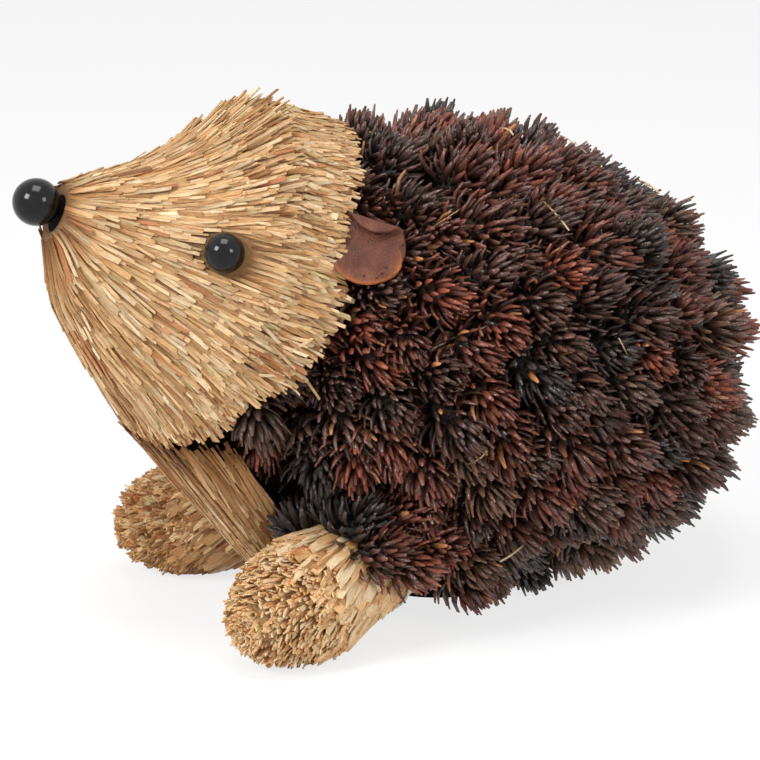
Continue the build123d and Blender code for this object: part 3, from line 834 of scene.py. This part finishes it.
def bib_backing():
    """The bib's solid roots."""
    bpy.ops.object.select_all(action="DESELECT")
    bpy.ops.mesh.primitive_grid_add(x_subdivisions=12, y_subdivisions=14, size=2)
    grid = bpy.context.object
    for vertex in grid.data.vertices:
        vertex.co = bib_point((vertex.co.y + 1) / 2, vertex.co.x, -0.4 * MM)
    wall = grid.modifiers.new("wall", "SOLIDIFY")
    wall.thickness = 6 * MM
    wall.offset = 1.0 if grid.data.polygons[0].normal.dot(throat_outward) < 0 else -1.0
    bpy.ops.object.modifier_apply(modifier="wall")
    turn_faces_out()
    points, faces = taken("bib backing")
    return points, faces, backing_tint


bib = Bundle(straw_pattern)
bib_straws = 1700
bib_edge_straws = 120
bib_wrap = 1.85
for number in range(bib_straws):
    top = rng.uniform(0.22, 1.22)
    long = rng.uniform(0.30, 0.75)
    low = max(top - long, rng.uniform(-0.10, 0.03))
    part = rng.uniform(-bib_wrap, bib_wrap)
    slide = rng.normal(0, 0.05)
    lift = rng.uniform(0.5, 3.2) * MM
    root = bib_point(top, part, rng.uniform(-0.4, 1.6) * MM)
    tip = bib_point(low, part + slide, lift)
    middle = bib_point((top + low) / 2, part + slide / 2, lift * 0.6)
    side = bib_point(top, part + 0.05) - bib_point(top, part - 0.05)
    side = side.normalized() + throat_outward * rng.normal(0, 0.2)
    bib.lay(
        root, tip, side, rng.uniform(0.7, 1.8) * MM, straw_thickness, straw_tint(throat_odds),
        middle - (root + tip) / 2, rng.normal(0, 0.6),
    )
for edge in (-1, 1):
    for number in range(bib_edge_straws):
        top = rng.uniform(0.12, 1.0)
        low = max(top - rng.uniform(0.2, 0.45), -0.06)
        part = edge * rng.uniform(bib_wrap - 0.4, bib_wrap)
        root = bib_point(top, part)
        tip = bib_point(low, part + edge * rng.uniform(0, 0.25), rng.uniform(0.5, 3.5) * MM)
        width = rng.uniform(0.7, 1.6) * MM
        tint = straw_tint(throat_odds)
        bib.lay(root, tip, throat_outward, width, straw_thickness, tint, slant=rng.normal(0, 0.6))
dress(gathered("bib_straw", bib_backing(), bib), straw_gold, "throat_straw", "throat_straw")

# %% [markdown]
# Each paw is a bundle of broad leaves of straw, bound near the body and cut across at the
# toes, where hundreds of cut ends make a rough dome. The bundle's core is a cylinder whose
# rows are moved out along the paw, the last ones over the dome.

# %% Paws
toe_reach, toe_spread, toe_height = 108 * MM, 62 * MM, 23 * MM
heel_spread, heel_height = 20 * MM, 42 * MM
toe_radius, heel_radius = 22.5 * MM, 18 * MM
paw_shares = (0.0, 0.5, 0.75, 0.9, 1.0, 1.08, 1.14, 1.18)
paw_radii = (12 * MM, 16 * MM, 20.5 * MM, 23.5 * MM, 22 * MM, 18 * MM, 13.5 * MM, 7.5 * MM)
paw_end = 1.18
leaf_slant = 2.6
paw_core_tint = (0.52, 0.34, 0.18)
palest_straw = 0.92
paw_core_from = 0.30
toes_from = 0.88
paw_leaves = 900
paw_cut_ends = 2100


class Paw:
    """One straw paw: side -1 is the near one, at the left."""

    def __init__(self, side, odds, painted_light_paleness):
        self.heel = Vector((0, side * heel_spread, heel_height))
        self.toe = Vector((-toe_reach, side * toe_spread, toe_height))
        self.run = self.toe - self.heel
        self.along = self.run.normalized()
        self.level = self.along.cross(Vector((0, 0, 1))).normalized()
        self.high = self.level.cross(self.along)
        self.odds = odds
        self.painted_light_paleness = painted_light_paleness
        self.straws = Bundle(straw_pattern)

    def tint(self):
        """One straw's colour, made paler than the head's but keeping its hue: painted light on the paws."""
        tint = straw_tint(self.odds) * self.painted_light_paleness
        return tint * min(1.0, palest_straw / tint.max())

    def outward(self, turn):
        return self.level * cos(turn) + self.high * sin(turn)

    def radius_at(self, share):
        """Radius of the bundle, which swells before the toes and rounds off over them."""
        return np.interp(share, paw_shares, paw_radii)

    def point(self, share, turn, lift=0.0):
        return self.heel + self.run * share + self.outward(turn) * (self.radius_at(share) + lift)

    def leaf(self, turn, start, end, lift):
        """A broad strip along the flank."""
        root = self.point(start, turn, lift * 0.2)
        tip = self.point(end, turn - cos(turn) * leaf_slant * (end - start) + rng.normal(0, 0.06), lift)
        across_leaf = self.along.cross(self.outward(turn)) + self.outward(turn) * rng.normal(0, 0.3)
        width = rng.uniform(1.4, 5.0) * MM
        bend = self.outward(turn) * rng.uniform(0.2, 1.2) * MM
        self.straws.lay(root, tip, across_leaf, width, 0.6 * MM, self.tint(), bend, rng.normal(0, 0.7))

    def cut_end(self, share, turn):
        """A short straw that ends on the rounded toes."""
        outward = self.outward(turn)
        steep = max(0.0, (share - toes_from) / (paw_end - toes_from))
        fill = rng.uniform(0, 1) ** 0.5 if share > paw_end - 0.02 else 1.0
        surface = self.heel + self.run * share + outward * self.radius_at(share) * fill
        lean = self.along * (0.75 + 0.4 * steep) + outward * rng.uniform(0.15, 0.75) * fill
        lean = (lean + self.level * rng.normal(0, 0.14) + self.high * rng.normal(0, 0.14)).normalized()
        root = surface - lean * 7 * MM
        tip = surface + lean * rng.uniform(0.8, 4.6) * MM
        side = self.outward(turn + rng.normal(pi / 2, 0.5))
        width = rng.uniform(0.9, 2.4) * MM
        thickness = rng.uniform(0.5, 0.9) * MM
        self.straws.lay(root, tip, side, width, thickness, self.tint(), slant=rng.normal(0, 0.8))

    def core(self):
        """The bundle's inner straw as one solid."""
        start_with(lambda: bpy.ops.mesh.primitive_cylinder_add(vertices=40, radius=1, depth=1))
        slice_across(11)
        bpy.ops.object.mode_set(mode="OBJECT")
        for vertex in bpy.context.object.data.vertices:
            place = paw_core_from + (paw_end - paw_core_from) * (vertex.co.z + 0.5)
            flat = Vector((vertex.co.x, vertex.co.y)).normalized()
            outward = self.level * flat.x + self.high * flat.y
            vertex.co = self.heel + self.run * place + outward * (self.radius_at(place) - 1.2 * MM)
            vertex.co.z = max(vertex.co.z, floor_gap)
        points, faces = taken("paw core")
        return points, faces, paw_core_tint


# Painted light: the near paw's straw is made paler than the far paw's, and both paler than the head's.
paws = (
    (-1, "left", paw_odds, 1.34, straw_gold),
    (1, "right", brown_odds, 1.14, straw_shaded),
)
for side, name, odds, painted_light_paleness, finish in paws:
    paw = Paw(side, odds, painted_light_paleness)
    for number in range(paw_leaves):
        start = rng.uniform(0.28, 0.88)
        end = min(start + rng.uniform(0.16, 0.32), rng.uniform(0.90, 1.06))
        paw.leaf(rng.uniform(0, 2 * pi), start, end, rng.uniform(0.4, 3.2) * MM)
    for number in range(paw_cut_ends):
        paw.cut_end(min(rng.uniform(toes_from, paw_end + 0.05), paw_end), rng.uniform(0, 2 * pi))
    piece = gathered("paw_bundle_" + name, paw.core(), paw.straws)
    dress(piece, finish, "paw_straw", "paw_straw_" + name)

# %% [markdown]
# Pine cones. The measured model holds where each one is glued. The same rings are walked here,
# and a cone is made wherever the model has one. Gaps that would show the foam are then filled
# with more cones, as the maker of the ornament does with small ones.

# %% Places of the cones
cone_lengths = (29 * MM, 26 * MM, 23 * MM)
cone_radii = (12.7 * MM, 12.3 * MM, 11.6 * MM)
cone_pitch = 27 * MM
ring_pitch = 25.4 * MM
first_ring_angle = 38
cone_lean = 28.0
lean_fade = 70.0
half_cone = cone_lengths[1] / 2
model_cone_gap = 7 * MM
cone_nodes = sorted(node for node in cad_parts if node.startswith("cone_ring"))
cone_points = []
for node in cone_nodes:
    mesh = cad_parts[node].data
    points = np.empty(3 * len(mesh.vertices), np.float32)
    mesh.vertices.foreach_get("co", points)
    cone_points.append(points.reshape(-1, 3)[::7])


def egg_point(angle, turn, growth=0.0):
    """A point on the egg, angle in degrees from its nose end, turn in radians about its axis."""
    along = -(body_length / 2 + growth) * cos(radians(angle))
    radius = (body_diameter / 2 + growth) * sin(radians(angle))
    return body_centre + body_axis * along + across * (radius * cos(turn)) + body_up * (radius * sin(turn))


def cone_stance(angle, turn):
    """Where a cone is glued and the axis that it stands along."""
    base = egg_point(angle, turn)
    back = (egg_point(angle + 1, turn) - egg_point(angle - 1, turn)).normalized()
    sideways = egg_point(angle, turn + 0.02) - egg_point(angle, turn - 0.02)
    normal = sideways.cross(back).normalized()
    if normal.dot(base - body_centre) < 0:
        normal = -normal
    lean = radians(cone_lean * min(max((180 - angle) / lean_fade, 0), 1))
    axis = normal * cos(lean) + back * sin(lean)
    if axis.dot(rim_normal) < 0:
        axis = (normal - rim_normal * normal.dot(rim_normal)).normalized()
    return base + normal * (1.4 + 3 * sin(lean)) * MM, axis


def nearest_ring(spot):
    """The ring whose solids come nearest to a spot, and how near."""
    gaps = [np.min(np.linalg.norm(points - np.array(spot), axis=1)) for points in cone_points]
    best = int(np.argmin(gaps))
    return best, gaps[best]


cone_places = []
ring_angle = first_ring_angle
walked = 0.0
ring = 0
while ring_angle <= 180:
    around = 2 * pi * (body_diameter / 2 + half_cone) * sin(radians(ring_angle))
    count = max(1, round(around / cone_pitch))
    for number in range(count):
        turn = 2 * pi * (number + 0.5 * (ring % 2)) / count
        seat, axis = cone_stance(ring_angle, turn)
        size = 2 if ring < 2 else (number + ring) % 3
        found, gap = nearest_ring(seat + axis * cone_lengths[size] * 0.45)
        if gap < model_cone_gap:
            cone_places.append((found, seat, axis, cone_lengths[size], cone_radii[size]))
    ring += 1
    while walked < ring_pitch:
        walked += (egg_point(ring_angle + 1, 0, half_cone) - egg_point(ring_angle, 0, half_cone)).length
        ring_angle += 1
    walked -= ring_pitch
print(len(cone_places), "cones of the model found")

# %% [markdown]
# Filling: spots all over the egg, the foot, the paw roots, the back of the rim and the flanks
# of the throat are tried. One is taken when it is far enough from every cone, and in most
# places also from the straw.

# %% Filling cones
fill_gaps = (22 * MM, 18.5 * MM, 15 * MM)
root_fill_gap = 12 * MM
rim_cone_sink = 16 * MM
fill_size = 23 * MM
fill_radius = 11.5 * MM
lowest_fill = 19 * MM
foot_half = (35 * MM, 23 * MM)
foot_fill_height = 21 * MM
head_clearance = 7 * MM
seat_clearance = 4 * MM
paw_clearance = (heel_radius + toe_radius) / 2 + 8 * MM
bib_front_clearance = 27 * MM
bib_side_clearance = 9 * MM
paw_top_rise = 0.30
egg_spots, foot_spots, paw_spots = 110, 60, 24
paw_shown_from = 0.40
paw_top_shown_from = 0.76
paw_lines = [
    (Vector((0, side * heel_spread, heel_height)), Vector((-toe_reach, side * toe_spread, toe_height)))
    for side in (-1, 1)
]


def has_room(seat, axis, beside_straw=False):
    """Whether a filling cone clears the head, bib, paws and floor."""
    middle = seat + axis * fill_size / 2
    if beside_straw:
        return middle.z > lowest_fill
    if (middle - rim_origin).dot(rim_normal) < head_clearance:
        return False
    if (seat - rim_origin).dot(rim_normal) < seat_clearance:
        return False
    if middle.z < lowest_fill:
        return False
    for heel, toe in paw_lines:
        along = toe - heel
        share = min(max((middle - heel).dot(along) / along.length_squared, 0), 1)
        if share > paw_shown_from and (middle - heel - along * share).length < paw_clearance:
            return False
    share = (middle.z - throat_low.z) / throat_slope.z
    front = throat_low.x + throat_slope.x * share
    behind = middle.x >= front + bib_front_clearance
    return behind or abs(middle.y) >= bib_half_width(share) + bib_side_clearance


candidates = []
for angle in range(14, 178, 3):
    steps = max(6, round(egg_spots * sin(radians(angle))))
    for number in range(steps):
        candidates.append((*cone_stance(angle, 2 * pi * number / steps), False))
for number in range(foot_spots):
    turn = 2 * pi * number / foot_spots
    outward = Vector((cos(turn) / foot_half[0], sin(turn) / foot_half[1], 0)).normalized()
    spot = Vector((foot_half[0] * cos(turn), foot_half[1] * sin(turn), foot_fill_height))
    candidates.append((spot, (outward + Vector((0, 0, -0.12))).normalized(), False))
for heel, toe in paw_lines:
    along = (toe - heel).normalized()
    level = along.cross(Vector((0, 0, 1))).normalized()
    high = level.cross(along)
    for share in np.arange(0.0, paw_top_shown_from, 0.05):
        for number in range(paw_spots):
            turn = 2 * pi * number / paw_spots
            outward = level * cos(turn) + high * sin(turn)
            if share < paw_shown_from or outward.z > paw_top_rise:
                spot = heel + (toe - heel) * share + outward * heel_radius
                axis = (outward - along * 0.3 - Vector((0, 0, 0.25))).normalized()
                candidates.append((spot, axis, True))
for side in (-1, 1):
    for angle in range(112, 130, 4):
        for inset in (2, 8):
            distance = rim_distance(angle) - inset * MM
            out = head_point(distance, side * angle, 1.0) - head_point(distance, side * angle)
            spot = head_point(distance + 6 * MM, side * angle, -rim_cone_sink)
            candidates.append((spot, (out.normalized() + rim_normal * 1.4).normalized(), True))
for side in (-1, 1):
    for back in range(28, 70, 6):
        for share in np.arange(0.05, 1.0, 0.12):
            middle = throat_low + throat_slope * share
            spot = middle + Vector((back * MM, side * bib_half_width(share) * (1 - 0.5 * back / 90), 0))
            candidates.append((spot, Vector((0.25, side, 0)).normalized(), False))

middles = [np.array(seat + axis * length / 2) for ring, seat, axis, length, radius in cone_places]
fill_count = 0
for fill_gap in fill_gaps:
    for seat, axis, beside_straw in candidates:
        middle = np.array(seat + axis * fill_size / 2)
        least = min(fill_gap, root_fill_gap) if beside_straw else fill_gap
        if min(np.linalg.norm(np.array(middles) - middle, axis=1)) < least:
            continue
        if has_room(seat, axis, beside_straw):
            middles.append(middle)
            cone_places.append((nearest_ring(Vector(middle))[0], seat, axis, fill_size, fill_radius))
            fill_count += 1
print(fill_count, "filling cones")

# %% [markdown]
# A cone is a bud with about eighty woody fingers in a golden spiral. The lowest stand nearly
# square to the stem and the top ones close over it. No two cones lean alike, so each is
# turned, tilted and tinted by chance: charcoal, umber, rust or dusty brown.

# %% Pine cones
cone_tints = np.array((
    (0.062, 0.021, 0.013), (0.110, 0.030, 0.017), (0.160, 0.038, 0.018),
    (0.030, 0.018, 0.014), (0.090, 0.042, 0.028), (0.120, 0.052, 0.028),
))
cone_odds = np.array((0.26, 0.26, 0.18, 0.12, 0.10, 0.08))
cone_swell = 1.36
cone_droop = 0.30
charcoal_front = Vector((-85 * MM, -40 * MM, 62 * MM))
scales_per_cone = 76
cone_tilt = 0.26
charcoal_reach = 26 * MM
scale_thickness = 1.6 * MM
tan_share = 0.012
tan_tint = np.array((0.42, 0.17, 0.06))
golden_turn = pi * (3 - sqrt(5))


def cone_colour(seat):
    """A cone's tint, drawn at random. Those beside the bib are all made charcoal."""
    if (seat - charcoal_front).length < charcoal_reach:
        return cone_tints[3] * 0.9
    return cone_tints[rng.choice(len(cone_tints), p=cone_odds)] * rng.uniform(0.8, 1.25)


def grow_cone(scales, buds, seat, axis, length, radius):
    """Add one pine cone's scales and bud."""
    droop = (rim_normal - Vector((0, 0, 0.5))) * cone_droop
    tilt = Vector(rng.normal(0, cone_tilt, 3)) + droop * rng.uniform(0.3, 1.4)
    axis = (axis + tilt - axis * tilt.dot(axis)).normalized()
    first = axis.orthogonal().normalized()
    second = axis.cross(first)
    spin = rng.uniform(0, 2 * pi)
    tint = cone_colour(seat)
    # The bud is tinted at 0.3 of the cone's colour: painted shade for the hollow deep among the scales.
    buds.lay(seat, seat + axis * length * 0.86, first, radius * 0.95, radius * 0.95, tint * 0.3)
    spread = rng.uniform(0.9, 1.15) * cone_swell
    swirl = rng.normal(0, 0.25)
    for number in range(scales_per_cone):
        share = number / (scales_per_cone - 1)
        turn = number * golden_turn + spin
        outward = first * cos(turn) + second * sin(turn)
        sideways = second * cos(turn) - first * sin(turn)
        splay = radians(80 - 66 * share ** 0.85) + rng.normal(0, 0.16)
        height = length * (0.06 + 0.72 * share ** 0.9)
        bud = radius * 0.42 * (1 - share) ** 0.5
        reach = radius * (0.80 - 0.16 * share) * spread * rng.uniform(0.78, 1.15)
        pointing = (outward * sin(splay) + axis * cos(splay) + sideways * swirl * sin(splay)).normalized()
        root = seat + axis * height + outward * bud
        tip = root + pointing * reach
        bend = (outward * 0.8 - axis * sin(splay)) * (0.11 * reach)
        width = (3.4 - 1.0 * share) * MM * rng.uniform(0.7, 1.2)
        shade = tint * rng.uniform(0.5, 1.6)
        if rng.random() < tan_share:
            shade = tan_tint
        scales.lay(root, tip, sideways, width, scale_thickness, shade, bend)


for index, node in enumerate(cone_nodes):
    scales = Bundle(scale_pattern)
    buds = Bundle(bud_pattern)
    for found, seat, axis, length, radius in cone_places:
        if found == index:
            grow_cone(scales, buds, seat, axis, length, radius)
    piece = gathered("pine_cones_" + node[-2:], scales, buds)
    piece.data.shade_smooth()
    dress(piece, cone_finish.material, "pine_cone", node)

# %% [markdown]
# A few straws have dropped among the cones and stayed there. They are thin and pale, and lie
# across the tips of the cones in no order.

# %% Stray straws
stray_straws = Bundle(straw_pattern)
stray_count = 34
stray_length = (7 * MM, 19 * MM)
stray_width = (0.3 * MM, 0.8 * MM)
for number in range(stray_count):
    found, seat, axis, length, radius = cone_places[rng.integers(len(cone_places))]
    along = axis.orthogonal().normalized()
    along = (along * rng.normal() + axis.cross(along) * rng.normal()).normalized()
    middle = seat + axis * length * 0.86
    reach = rng.uniform(*stray_length) / 2
    width = rng.uniform(*stray_width)
    stray_straws.lay(
        middle - along * reach, middle + along * reach + axis * rng.uniform(0, 5) * MM,
        axis, width, width * 0.6, straw_tints[4], axis * rng.uniform(0, 1.5) * MM,
    )
dress(gathered("stray_straws", stray_straws), straw_gold, "straw")

# %% [markdown]
# An ear is a flap of thick leather with a straight root and a round end. Its top edge is
# turned over. A grid is laid out as that flap, the part above the fold line rolls over a
# small radius, and a wall and one level of subdivision give it its thickness and soft edge.

# %% Ears
ear_length = 27 * MM
ear_width = 29 * MM
ear_thickness = 1.5 * MM
ear_angle = 66.0
ear_flare = radians(35)
ear_fold_height = 0.76 * ear_width / 2
ear_roll = 1.3 * MM
ear_root_cut = 0.22
ear_half_length = ear_length / 2 / (1 - ear_root_cut / 2)
ear_clearance = 2.4 * MM
ear_top_spread = 1.32
ear_wave, ear_waves = 1.2 * MM, 130
ear_tip_cup, ear_side_cup = 2.4 * MM, 1.5 * MM
ear_forward = 5 * MM
ear_raise = 1 * MM


def ear_flap(name, side):
    """One ear, on the side of the head given by its sign."""
    angle = side * ear_angle
    turn = radians(angle)
    outward = head_up * cos(turn) + across * sin(turn)
    run = rim_normal * cos(ear_flare) + outward * sin(ear_flare)
    face = outward * cos(ear_flare) - rim_normal * sin(ear_flare)
    root = head_point(rim_distance(angle), angle) - outward * (backing / 2) + rim_normal * ear_clearance
    root += outward * ear_raise - rim_normal * ear_forward
    up = face.cross(run).normalized()
    if up.z < 0:
        up = -up
    bpy.ops.object.select_all(action="DESELECT")
    bpy.ops.mesh.primitive_grid_add(x_subdivisions=30, y_subdivisions=36, size=2)
    flap = bpy.context.object
    flap.name = name
    centre = ear_length - ear_half_length
    edge_values = []
    for vertex in flap.data.vertices:
        place = (vertex.co.x + 1) / 2 * ear_length * 0.998
        part = vertex.co.y
        half = ear_width / 2 * sqrt(max(0.0, 1 - ((place - centre) / ear_half_length) ** 2))
        edge_values.append(max(abs(part), (vertex.co.x + 1) / 2) ** 14 * (part < 0.4))
        height = half * part * (ear_top_spread if part > 0 else 1.0)
        out = 0.0
        over = height - ear_fold_height
        if over > 0:
            roll = min(over / ear_roll, pi)
            height = ear_fold_height + ear_roll * sin(roll)
            out = ear_roll * (1 - cos(roll))
            height -= max(0.0, over - pi * ear_roll)
        wave = noise.noise(Vector((place, height, side)) * ear_waves) * ear_wave
        cup = ear_side_cup * part ** 2 - ear_tip_cup * (place / ear_length) ** 2
        vertex.co = root + run * place + up * height + face * (out + wave + cup)
    edge = flap.data.attributes.new("edge", "FLOAT", "POINT")
    edge.data.foreach_set("value", np.array(edge_values, np.float32))
    bpy.ops.object.mode_set(mode="EDIT")
    bpy.ops.mesh.select_all(action="SELECT")
    bpy.ops.mesh.remove_doubles(threshold=0.00002)
    bpy.ops.object.mode_set(mode="OBJECT")
    wall = flap.modifiers.new("wall", "SOLIDIFY")
    wall.thickness = ear_thickness
    wall.offset = 0
    soft = flap.modifiers.new("soft", "SUBSURF")
    soft.levels = 1
    soft.render_levels = 1
    bpy.ops.object.modifier_apply(modifier="wall")
    bpy.ops.object.modifier_apply(modifier="soft")
    turn_faces_out()
    bpy.ops.object.shade_smooth()
    return flap


for name, side in (("left", -1), ("right", 1)):
    dress(ear_flap("leather_ear_" + name, side), leather.material, "leather", "ear_" + name)

# %% [markdown]
# Eyes and nose are turned beads with a hole for their pin. A sphere gets its hole by pushing
# in the faces round the pole that looks along the pin.


# %% Beads
hole_rim = 0.985
hole_depth = 0.4


def bead(name, node, looks):
    """A round bead in the place of a node, its hole opposite to where it looks."""
    low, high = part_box(node)
    radius = max(high - low) / 2
    centre = nose_centre if node == "nose_bead" else (low + high) / 2
    bpy.ops.object.select_all(action="DESELECT")
    bpy.ops.mesh.primitive_uv_sphere_add(segments=56, ring_count=28, radius=radius)
    ball = bpy.context.object
    ball.name = name
    bpy.ops.object.mode_set(mode="EDIT")
    bpy.ops.mesh.select_all(action="DESELECT")
    bpy.ops.object.mode_set(mode="OBJECT")
    for polygon in ball.data.polygons:
        polygon.select = polygon.center.z < -hole_rim * radius
    bpy.ops.object.mode_set(mode="EDIT")
    bpy.ops.mesh.select_mode(type="FACE")
    bpy.ops.mesh.extrude_region_move(TRANSFORM_OT_translate={"value": (0, 0, hole_depth * radius)})
    bpy.ops.object.mode_set(mode="OBJECT")
    turn = looks.to_track_quat("Z", "Y")
    for vertex in ball.data.vertices:
        vertex.co = centre + turn @ vertex.co
    bpy.ops.object.shade_smooth()
    return ball


dress(bead("nose_ball", "nose_bead", -head_axis), bead_black, "black_bead", "nose_bead")
for name, side in (("left", -1), ("right", 1)):
    looks = Vector((-0.55, side * 0.83, 0.1)).normalized()
    dress(bead("eye_ball_" + name, "eye_" + name, looks), bead_black, "black_bead", "eye_" + name)

# %% [markdown]
# What stays from the measured model gets a finish of its own: foam, dowel, pins, ties, glue.

# %% Carried pieces
node_finishes = {
    "body_core": foam_brown, "head_core": foam_brown, "throat_pad": foam_brown,
    "neck_dowel": dowel_wood, "paw_peg_left": dowel_wood, "paw_peg_right": dowel_wood,
    "nose_pin": wire_grey, "eye_pin_left": wire_grey, "eye_pin_right": wire_grey,
    "paw_tie_left": wire_grey, "paw_tie_right": wire_grey, "glue_dabs": glue_amber,
}
for node, finish in node_finishes.items():
    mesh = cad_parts[node].data
    mesh.materials.clear()
    mesh.materials.append(finish)
print(len(node_finishes), "carried pieces finished")
